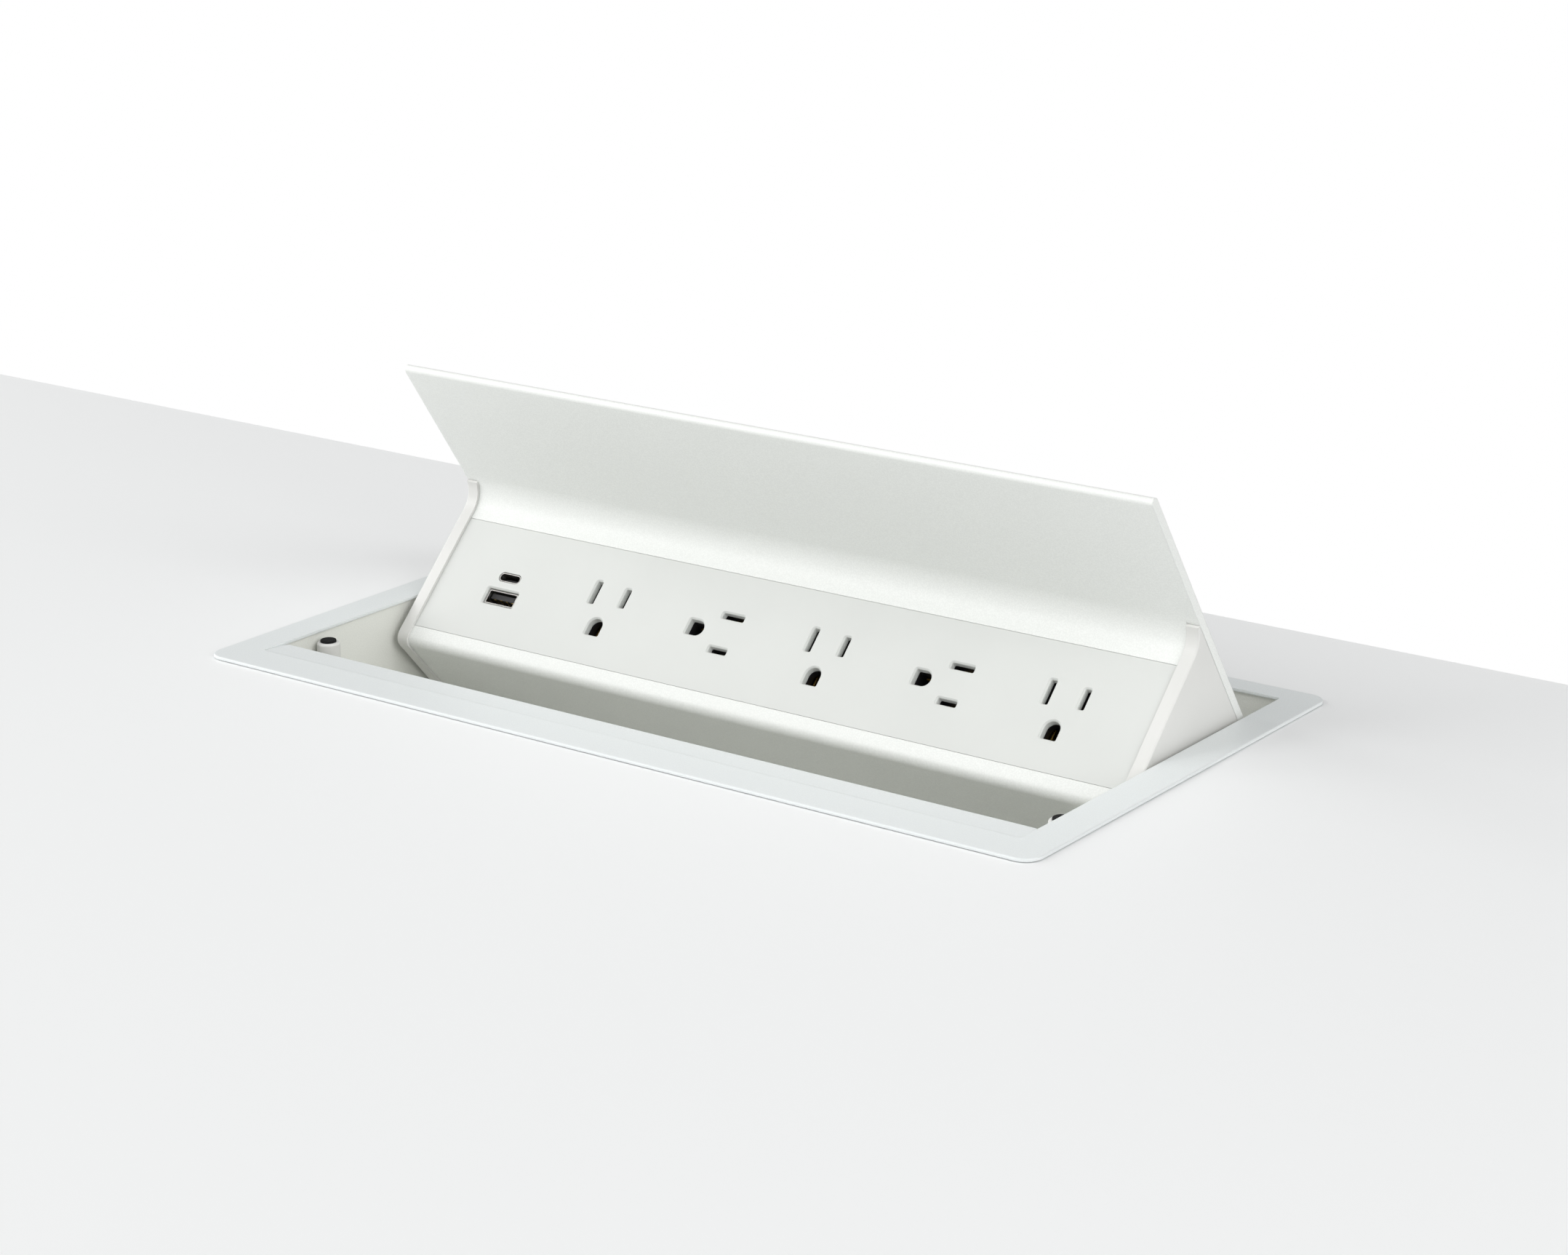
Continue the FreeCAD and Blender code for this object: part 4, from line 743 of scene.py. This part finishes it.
class Repeat(ABC):
    """A geometry node tree that repeats one shape, run once and made a plain mesh."""

    title: str = ""
    inputs: tuple[tuple[str, str], ...] = ()

    def __init__(self) -> None:
        """Builds the tree with its named inputs."""
        self.tree = bpy.data.node_groups.new(self.title, "GeometryNodeTree")
        face = self.tree.interface
        face.new_socket(name="Geometry", in_out="INPUT", socket_type="NodeSocketGeometry")
        self.sockets: dict[str, str] = {}
        for name, kind in self.inputs:
            item = face.new_socket(name=name, in_out="INPUT", socket_type=kind)
            self.sockets[name] = item.identifier
        face.new_socket(name="Geometry", in_out="OUTPUT", socket_type="NodeSocketGeometry")
        sheet = Sheet(self.tree)
        given = sheet.add("NodeGroupInput").outputs
        instances = self.fill(sheet, given)
        real = sheet.add("GeometryNodeRealizeInstances", {"Geometry": instances})
        paint = sheet.add("GeometryNodeSetMaterial", {"Geometry": real.outputs[0],
                                                      "Material": given["Finish"]})
        sheet.add("NodeGroupOutput", {0: paint.outputs[0]})

    @abstractmethod
    def fill(self, sheet: Sheet, given: Any) -> Socket:
        """Draws the tree as far as its instances and returns their socket."""

    def run(self, name: str, start: Mesh, values: dict[str, Any]) -> Mesh:
        """Runs the tree on a mesh.

        Args:
            name: Name of the finished mesh.
            start: The mesh that the tree starts from.
            values: A value for each named input.

        Returns:
            The finished plain mesh.
        """
        holder = linked(name + "_start", start)
        modifier = holder.modifiers.new(self.title, "NODES")
        modifier.node_group = self.tree
        for key, value in values.items():
            modifier[self.sockets[key]] = value
        made = baked(holder)
        made.name = name
        holder.modifiers.remove(modifier)
        bpy.data.objects.remove(holder)
        return made


class FastenerRow(Repeat):
    """Sets a fastener on every seat, turned to face out and spun by a seeded angle."""

    title = "fastener_row"
    inputs = (("Fastener", "NodeSocketObject"), ("Seed", "NodeSocketInt"),
              ("Finish", "NodeSocketMaterial"))

    def fill(self, sheet: Sheet, given: Any) -> Socket:
        """Draws instances aligned with the seats' outward direction."""
        part = sheet.add("GeometryNodeObjectInfo", {"Object": given["Fastener"]},
                         transform_space="ORIGINAL")
        out = sheet.add("GeometryNodeInputNamedAttribute", {"Name": "out"},
                        data_type="FLOAT_VECTOR")
        aim = sheet.add("FunctionNodeAlignRotationToVector", {"Vector": out.outputs[0]}, axis="Z")
        spin = sheet.add("FunctionNodeRandomValue", {"Seed": given["Seed"]}, data_type="FLOAT")
        angle = sheet.math("MULTIPLY", spin.outputs["Value"], math.tau)
        twist = sheet.add("FunctionNodeAxisAngleToRotation", {"Axis": (0, 0, 1), "Angle": angle})
        both = sheet.add("FunctionNodeRotateRotation", {0: aim.outputs[0], 1: twist.outputs[0]},
                         rotation_space="LOCAL")
        points = sheet.add("GeometryNodeMeshToPoints", {0: given["Geometry"]})
        return sheet.set_on(points.outputs[0], part.outputs["Geometry"], both.outputs[0])

    def replace(self, packed: str, name: str, body: Body, seats: list[Seat],
                shape: Mesh, seed: int) -> None:
        """Sets one zinc-plated fastener on each seat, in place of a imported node.

        Args:
            packed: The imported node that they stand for.
            name: Name of the new piece.
            body: The body that it rides on.
            seats: Where the fasteners go.
            shape: The fastener, with its head towards +Z.
            seed: Seed of the spins.
        """
        start = bpy.data.meshes.new(name + "_seats")
        start.from_pydata([seat.place for seat in seats], [], [])
        facing = start.attributes.new("out", "FLOAT_VECTOR", "POINT")
        for row, seat in zip(facing.data, seats):
            row.vector = seat.out
        pattern = bpy.data.objects.new(name + "_pattern", shape)
        finish = Finishes.by_slot[Slot.ZINC_STEEL].material()
        made = self.run(name, start, {"Fastener": pattern, "Seed": seed, "Finish": finish})
        bpy.data.objects.remove(pattern)
        add_piece(name, made, body, Slot.ZINC_STEEL, stands_for=(packed,))


class BlockRow(Repeat):
    """Sets small blocks in a straight row."""

    title = "block_row"
    inputs = (("Count", "NodeSocketInt"), ("First", "NodeSocketVector"),
              ("Step", "NodeSocketVector"), ("Size", "NodeSocketVector"),
              ("Turn", "NodeSocketVector"), ("Finish", "NodeSocketMaterial"))

    def fill(self, sheet: Sheet, given: Any) -> Socket:
        """Draws blocks along a line from First, one Step apart."""
        line = sheet.add("GeometryNodeMeshLine", {
            "Count": given["Count"], "Start Location": given["First"], "Offset": given["Step"]},
            mode="OFFSET")
        block = sheet.add("GeometryNodeMeshCube", {"Size": given["Size"]})
        turn = sheet.add("FunctionNodeEulerToRotation", {0: given["Turn"]})
        return sheet.set_on(line.outputs[0], block.outputs[0], turn.outputs[0])


class RibRing(Repeat):
    """Sets ribs in a ring round Z."""

    title = "rib_ring"
    inputs = (("Count", "NodeSocketInt"), ("Radius", "NodeSocketFloat"),
              ("Rib", "NodeSocketVector"), ("Finish", "NodeSocketMaterial"))

    def fill(self, sheet: Sheet, given: Any) -> Socket:
        """Draws ribs on a circle, each facing away from its middle."""
        ring = sheet.add("GeometryNodeMeshCircle", {"Vertices": given["Count"],
                                                    "Radius": given["Radius"]})
        rib = sheet.add("GeometryNodeMeshCube", {"Size": given["Rib"]})
        away = sheet.add("GeometryNodeInputPosition")
        aim = sheet.add("FunctionNodeAlignRotationToVector", {"Vector": away.outputs[0]}, axis="X")
        return sheet.set_on(ring.outputs[0], rib.outputs[0], aim.outputs[0])


# ------------------------------------------------------------------ studio


@dataclass(frozen=True)
class Softbox:
    """A square soft light that faces the trough."""

    name: str
    place: Triple
    power: float
    size: float
    target: Triple = (0.0, 0.08, 0.0)

    def hang(self) -> None:
        """Adds the light to the scene."""
        data = bpy.data.lights.new(self.name, "AREA")
        data.energy = self.power
        data.size = self.size
        light = linked(self.name, data)
        light.location = self.place
        light.rotation_mode = "QUATERNION"
        aim = Vector(self.target) - Vector(self.place)
        light.rotation_quaternion = aim.to_track_quat("-Z", "Y")


@dataclass
class Studio:
    """Camera, soft lights and the pale desktop that the trough is let into."""

    eye: Triple = (0.653325, -0.777190, 0.360968)
    ahead: Triple = (-0.57052, 0.76299, -0.30390)
    upward: Triple = (-0.17483, 0.24872, 0.95266)
    lens: float = 81.23
    sensor: float = 36.0
    near: float = 0.01
    far: float = 50.0
    desk_reach: float = 4.0
    desk_back: float = 0.225
    hole_gap: float = 0.0025
    shade_gap: float = 0.0003
    desk_colour: Colour = tint(246, 247, 247)
    daylight: float = 0.376
    lean: Triple = (0.035, -0.341, 0.0)
    softboxes: tuple[Softbox, ...] = (
        Softbox("key_softbox", (-1.4, -1.5, 1.35), 18.7, 1.2),
        Softbox("right_softbox", (1.8, -0.3, 1.0), 19.3, 1.4),
        Softbox("top_softbox", (0.0, 0.0, 2.2), 6.4, 1.6),
        Softbox("left_softbox", (-2.0, -0.4, 0.6), 17.4, 1.2),
    )

    def build(self) -> None:
        """Makes the camera, the lights, the desktop and the sky."""
        self.place_camera()
        for softbox in self.softboxes:
            softbox.hang()
        self.lay_desktop()
        self.light_sky()
        bpy.context.scene.view_settings.view_transform = "Standard"

    def place_camera(self) -> None:
        """Sets the camera up."""
        data = bpy.data.cameras.new("camera")
        data.lens = self.lens
        data.sensor_width = self.sensor
        data.sensor_fit = "HORIZONTAL"
        data.clip_start = self.near
        data.clip_end = self.far
        camera = linked("camera", data)
        ahead = Vector(self.ahead).normalized()
        right = ahead.cross(Vector(self.upward)).normalized()
        above = right.cross(ahead)
        turn = Matrix((right, above, -ahead)).transposed()
        camera.matrix_world = Matrix.Translation(Vector(self.eye)) @ turn.to_4x4()
        bpy.context.scene.camera = camera

    def lay_desktop(self) -> None:
        """Lays a pale desktop with a cut-out for the tub."""
        low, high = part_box("tub_pan")
        end_low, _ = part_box("tub_end_left")
        _, end_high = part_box("tub_end_right")
        x0, x1 = end_low.x - self.hole_gap, end_high.x + self.hole_gap
        y0, y1 = low.y - self.hole_gap, high.y + self.hole_gap
        reach = self.desk_reach
        xs = [-reach, x0, x1, reach]
        ys = [-reach, y0, y1, self.desk_back]
        work = bmesh.new()
        rows = [[work.verts.new((x, y, -self.shade_gap)) for x in xs] for y in ys]
        for i, (near, far) in enumerate(zip(rows, rows[1:])):
            for j in range(3):
                if (i, j) != (1, 1):
                    work.faces.new((near[j], near[j + 1], far[j + 1], far[j]))
        mesh = finished(work, "desktop")
        mesh.materials.append(Laminate("desktop_laminate", self.desk_colour).material())
        linked("desktop", mesh)

    def light_sky(self) -> None:
        """Makes a white surround whose light leans to one side and is softer than it looks."""
        world = bpy.data.worlds.new("white_surround")
        bpy.context.scene.world = world
        world.use_nodes = True
        sheet = Sheet(world.node_tree)
        seen = sheet.add("ShaderNodeLightPath").outputs["Is Camera Ray"]
        towards = sheet.add("ShaderNodeTexCoord").outputs["Generated"]
        share = sheet.vector("DOT_PRODUCT", {0: towards, 1: self.lean}, "Value")
        light = sheet.math("ADD", share, self.daylight)
        unseen = sheet.math("SUBTRACT", 1.0, seen)
        strength = sheet.math("MULTIPLY_ADD", light, unseen, seen)
        sky = sheet.add("ShaderNodeBackground", {"Color": (1.0, 1.0, 1.0, 1.0),
                                                 "Strength": strength})
        sheet.add("ShaderNodeOutputWorld", {"Surface": sky.outputs[0]})


# ------------------------------------------------------------------ sub-assemblies


@dataclass(frozen=True)
class CrossScrew:
    """A pan-head screw with a cross recess."""

    head: float
    rise: float
    shank: float
    pitch: float = 0.5
    root: float = 0.8
    arm: float = 0.24

    def replace(self, packed: str, name: str, body: Body, seed: int,
                facing: Callable[[Vector], Vector]) -> None:
        """Sets one screw in place of each packed one.

        Args:
            packed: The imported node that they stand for.
            name: Name of the new piece.
            body: The body that it rides on.
            seed: Seed of the screws' spins.
            facing: Gives the way a head faces from the middle of its screw.
        """
        seats = []
        for points in islands(packed):
            low, high = corners(points)
            middle = (low + high) / 2
            out = facing(middle)
            reach = abs((high - low).dot(out))
            seats.append(Seat(middle + out * (reach / 2 - self.rise), out))
        shape = self.shape(name[:-1], reach - self.rise)
        FastenerRow().replace(packed, name, body, seats, shape, seed)

    def shape(self, name: str, length: float) -> Mesh:
        """Turns the screw and cuts its recess.

        Args:
            name: Name of the mesh.
            length: Length below the head.

        Returns:
            The mesh, with its head towards +Z and the head's underside at Z 0.
        """
        body = linked(name, lathe(name, self.outline(length), turns=32))
        tool = linked(name + "_recess", self.recess(name + "_recess"))
        cut = body.modifiers.new("recess", "BOOLEAN")
        cut.operation = "DIFFERENCE"
        cut.solver = "EXACT"
        cut.use_self = True
        cut.object = tool
        made = baked(body)
        bpy.data.objects.remove(body)
        bpy.data.objects.remove(tool)
        return creased(made)

    def outline(self, length: float) -> Outline:
        """Outline of the screw from the top of its head to its tip.

        Args:
            length: Length below the head.

        Returns:
            (radius, height) pairs.
        """
        head, rise, shank = self.head, self.rise, self.shank
        outline = [(0.0, rise), (head * 0.45, rise * 0.98), (head * 0.78, rise * 0.82),
                   (head * 0.95, rise * 0.5), (head, rise * 0.2), (head, 0.0), (shank, 0.0)]
        pitch = shank * self.pitch
        for step in range(int(length * 0.8 / pitch)):
            down = -pitch * (step + 0.5)
            outline.append((shank, down))
            outline.append((shank * self.root, down - pitch / 2))
        return outline + [(shank * self.root, -length * 0.9), (0.0, -length)]

    def recess(self, name: str) -> Mesh:
        """Two crossed bars that cut the recess.

        Args:
            name: Name of the mesh.

        Returns:
            The mesh of both bars.
        """
        work = bmesh.new()
        lift = Matrix.Translation((0, 0, self.rise * 0.95))
        grow = Matrix.Diagonal((self.head * 1.1, self.head * self.arm, self.rise, 1.0))
        for turn in (0.0, math.pi / 2):
            block = bmesh.ops.create_cube(work, size=1.0)
            bmesh.ops.transform(work, matrix=Matrix.Rotation(turn, 4, "Z") @ lift @ grow,
                                verts=block["verts"])
        return finished(work, name)


@dataclass
class TroughTub:
    """Trim frame, folded tub, cord lip, bumpers, stops, bushes, rails and rivets."""

    rivet_head: float = 0.0026
    rivet_rise: float = 0.0007
    rivet_shank: float = 0.0016
    rivet_stub: float = 0.0011
    mandrel_hole: float = 0.0007
    mandrel_depth: float = 0.35
    screw: CrossScrew = CrossScrew(head=0.0030, rise=0.0016, shank=0.0016)
    dome: tuple[tuple[float, float], ...] = (
        (0.42, 1.0), (0.70, 0.86), (0.90, 0.52), (1.0, 0.12), (1.0, 0.0))

    def build(self) -> None:
        """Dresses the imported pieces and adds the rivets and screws."""
        dress(Slot.TRIM_PAINT, "trim_frame", "cord_lip")
        dress(Slot.TUB_PAINT, "tub_pan", "tub_end_right", "tub_end_left")
        dress(Slot.BLACK_RUBBER, "cord_grommet")
        for side in Side:
            self.dress_end(side)
        self.add_rivets()
        self.screw.replace("bumper_post_screws", "post_screws", Body.TUB, 12,
                           lambda middle: Vector((0.0, 0.0, -1.0)))

    def dress_end(self, side: Side) -> None:
        """Dresses the pieces at one end.

        Args:
            side: The end.
        """
        word = side.word
        dress(Slot.WHITE_PLASTIC, "bumper_post_" + word)
        dress(Slot.BLACK_RUBBER, "bumper_pad_" + word, "open_stop_pad_" + word)
        dress(Slot.ZINC_STEEL, "open_stop_bracket_" + word, "clamp_rail_" + word)
        dress(Slot.BEARING_PLASTIC, "pivot_bush_" + word)

    def rivet_seats(self) -> list[Seat]:
        """Finds both ends of every packed rivet.

        Returns:
            One seat under each head.
        """
        seats = []
        for points in islands("tub_rivets"):
            low, high = corners(points)
            size = high - low
            wide = 2 * self.rivet_head
            axis = max(range(3), key=lambda number: abs(size[number] - wide))
            middle = (low + high) / 2
            for sign in (1, -1):
                out = Vector((0.0, 0.0, 0.0))
                out[axis] = sign
                reach = size[axis] / 2 - self.rivet_rise
                seats.append(Seat(middle + out * reach, out))
        return seats

    def add_rivets(self) -> None:
        """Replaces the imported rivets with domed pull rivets."""
        top, hole, foot = self.rivet_rise, self.mandrel_hole, -self.rivet_stub * 0.98
        outline = [(0.0, top * self.mandrel_depth), (hole, top * self.mandrel_depth),
                   (hole, top * 0.98)]
        outline += [(self.rivet_head * out, top * up) for out, up in self.dome]
        outline += [(self.rivet_shank, 0.0), (self.rivet_shank, foot), (0.0, foot)]
        shape = lathe("pull_rivet", outline, turns=24)
        FastenerRow().replace("tub_rivets", "pull_rivets", Body.TUB, self.rivet_seats(), shape,
                              seed=11)


@dataclass
class TiltBeam:
    """Lid and body extrusion, face strip, end caps, pivots and cord gland."""

    screw: CrossScrew = CrossScrew(head=0.0030, rise=0.0015, shank=0.0015)

    def build(self) -> None:
        """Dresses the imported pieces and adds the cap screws."""
        dress(Slot.BEAM_PAINT, "beam_extrusion")
        dress(Finishes.face_strip, "outlet_strip")
        for side in Side:
            dress(Slot.WHITE_PLASTIC, "end_cap_" + side.word)
            dress(Slot.ZINC_STEEL, "pivot_pin_" + side.word)
            dress(Slot.BEARING_PLASTIC, "friction_washer_" + side.word)
        dress(Slot.BLACK_PLASTIC, "cord_gland", "cord_gland_nut")
        self.screw.replace("end_cap_screws", "cap_screws", Body.BEAM, 13,
                           lambda middle: Vector((math.copysign(1.0, middle.x), 0.0, 0.0)))


@dataclass
class OutletRow:
    """Outlet bodies, contacts, bus bars and supply terminals behind the strip."""

    outlets: int = 5

    def build(self) -> None:
        """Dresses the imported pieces."""
        for number in range(1, self.outlets + 1):
            dress(Slot.BLACK_PLASTIC, f"outlet_body_{number}")
        dress(Slot.BRASS_STRIP, "neutral_bus_bar", "line_bus_bar",
              "ground_bus_bar")
        dress(Slot.BLACK_PLASTIC, "terminal_block")
        dress(Slot.ZINC_STEEL, "terminal_screws")


@dataclass
class ChargingSockets:
    """Shells, tongues, contact pads, board, transformer and leads of the sockets."""

    panel_slope: float = 45.2
    large_pads: int = 4
    large_pitch: float = 0.0025
    large_pad: Triple = (0.001, 0.00008, 0.0085)
    small_pads: int = 12
    small_pitch: float = 0.0005
    small_pad: Triple = (0.0003, 0.00006, 0.0035)
    pad_proud: float = 0.4
    pad_set_back: float = 0.0004

    def build(self) -> None:
        """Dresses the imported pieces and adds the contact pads."""
        dress(Slot.PORT_STEEL, "usb_c_shell", "usb_a_shell")
        dress(Slot.BLACK_PLASTIC, "usb_c_tongue", "usb_a_tongue")
        dress(Slot.CIRCUIT_BOARD, "usb_board")
        dress(Slot.FERRITE, "usb_transformer")
        dress(Slot.LEAD_INSULATION, "usb_leads")
        self.add_pads("large_contact_pads", "usb_a_tongue", self.large_pads,
                      self.large_pitch, self.large_pad)
        self.add_pads("small_contact_pads", "usb_c_tongue", self.small_pads,
                      self.small_pitch, self.small_pad)

    def up_panel(self) -> Vector:
        """Direction that climbs the face strip."""
        slope = math.radians(self.panel_slope)
        return Vector((0.0, math.cos(slope), math.sin(slope)))

    def off_panel(self) -> Vector:
        """Direction that leaves the face strip."""
        slope = math.radians(self.panel_slope)
        return Vector((0.0, -math.sin(slope), math.cos(slope)))

    def add_pads(self, name: str, tongue: str, count: int, pitch: float,
                 pad: Triple) -> None:
        """Lays contact pads along the lower face of a tongue.

        Args:
            name: Name of the piece.
            tongue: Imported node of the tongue.
            count: Number of pads.
            pitch: Distance from pad to pad.
            pad: Width, thickness and length of a pad.
        """
        points = [vert.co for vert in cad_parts[tongue].data.vertices]
        climb, leave = self.up_panel(), self.off_panel()
        heights = [point.dot(climb) for point in points]
        depths = [point.dot(leave) for point in points]
        middle_x = sum(point.x for point in points) / len(points)
        height = min(heights) - pad[1] * self.pad_proud
        depth = max(depths) - pad[2] / 2 - self.pad_set_back
        first = climb * height + leave * depth
        first.x = middle_x - pitch * (count - 1) / 2
        start = bpy.data.meshes.new(name + "_start")
        made = BlockRow().run(name, start, {
            "Count": count, "First": first, "Step": (pitch, 0.0, 0.0), "Size": pad,
            "Turn": (math.radians(self.panel_slope), 0.0, 0.0),
            "Finish": Finishes.gold_pad.material()})
        add_piece(name, made, Body.BEAM, Slot.BRASS_STRIP, Finishes.gold_pad)


@dataclass
class DeskClamp:
    """Foot, pad, nut and ribbed thumb screw of one desk clamp."""

    side: Side
    ribs: int = 28
    rib_height: float = 0.0005
    rib_width: float = 0.0008
    edge: float = 0.0008
    grip_thick: float = 0.010
    stem: float = 0.0025
    root: float = 0.84
    pitch: float = 0.0008

    def build(self) -> None:
        """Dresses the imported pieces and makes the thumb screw."""
        word = self.side.word
        dress(Slot.ZINC_STEEL, "clamp_foot_" + word, "clamp_nut_" + word)
        dress(Slot.BLACK_RUBBER, "clamp_pad_" + word)
        self.add_knob()

    def body(self) -> Body:
        """The knob's own body."""
        return Body.KNOB_RIGHT if self.side is Side.RIGHT else Body.KNOB_LEFT

    def knob_outline(self, grip: float, neck: float, length: float) -> Outline:
        """Outline of a thumb screw, from the tip of its thread to its face.

        Args:
            grip: Radius of the grip.
            neck: Height where the grip begins.
            length: Whole length.

        Returns:
            (radius, height) pairs.
        """
        edge, stem, root = self.edge, self.stem, self.stem * self.root
        outline = [(0.0, 0.0), (stem * 0.9, 0.0)]
        for step in range(int(neck / self.pitch)):
            outline.append((stem, self.pitch * (step + 0.3)))
            outline.append((root, self.pitch * (step + 0.8)))
        return outline + [
            (root, neck), (grip * 0.75, neck), (grip - edge, neck + edge * 0.3),
            (grip, neck + edge), (grip, length - edge), (grip - edge, length - edge * 0.2),
            (grip * 0.72, length), (grip * 0.66, length - edge), (0.0, length - edge)]

    def add_knob(self) -> None:
        """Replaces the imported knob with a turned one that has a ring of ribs."""
        word = self.side.word
        node = "clamp_knob_" + word
        low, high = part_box(node)
        middle = (low + high) / 2
        length = high.x - low.x
        thick = self.grip_thick
        grip = (high.z - low.z) / 2 - self.rib_height
        neck = length - thick
        turned = lathe(node + "_turned", self.knob_outline(grip, neck, length), turns=64)
        rib = (2 * self.rib_height, self.rib_width, thick - 2.4 * self.edge)
        ring = RibRing().run(node + "_ribs", bpy.data.meshes.new(node + "_start"), {
            "Count": self.ribs, "Radius": grip - self.rib_height * 0.02, "Rib": rib,
            "Finish": Finishes.by_slot[Slot.BLACK_PLASTIC].material()})
        ring.transform(Matrix.Translation((0, 0, neck + thick / 2)))
        work = bmesh.new()
        work.from_mesh(turned)
        work.from_mesh(ring)
        sign = self.side.value
        start = low.x if sign > 0 else high.x
        aim = Matrix.Rotation(sign * math.pi / 2, 4, "Y")
        bmesh.ops.transform(work, matrix=Matrix.Translation((start, middle.y, middle.z)) @ aim,
                            verts=work.verts)
        made = finished(work, "thumb_screw_" + word)
        add_piece("thumb_screw_" + word, made, self.body(), Slot.BLACK_PLASTIC,
                  stands_for=(node,))


def main() -> None:
    """Builds the studio and every sub-assembly in order."""
    logging.basicConfig(level=logging.INFO, format="%(name)s: %(message)s")
    steps: list[Callable[[], None]] = [
        Studio().build,
        TroughTub().build,
        TiltBeam().build,
        OutletRow().build,
        ChargingSockets().build,
        DeskClamp(Side.RIGHT).build,
        DeskClamp(Side.LEFT).build,
    ]
    for step in steps:
        step()


if __name__ == "__main__":
    main()
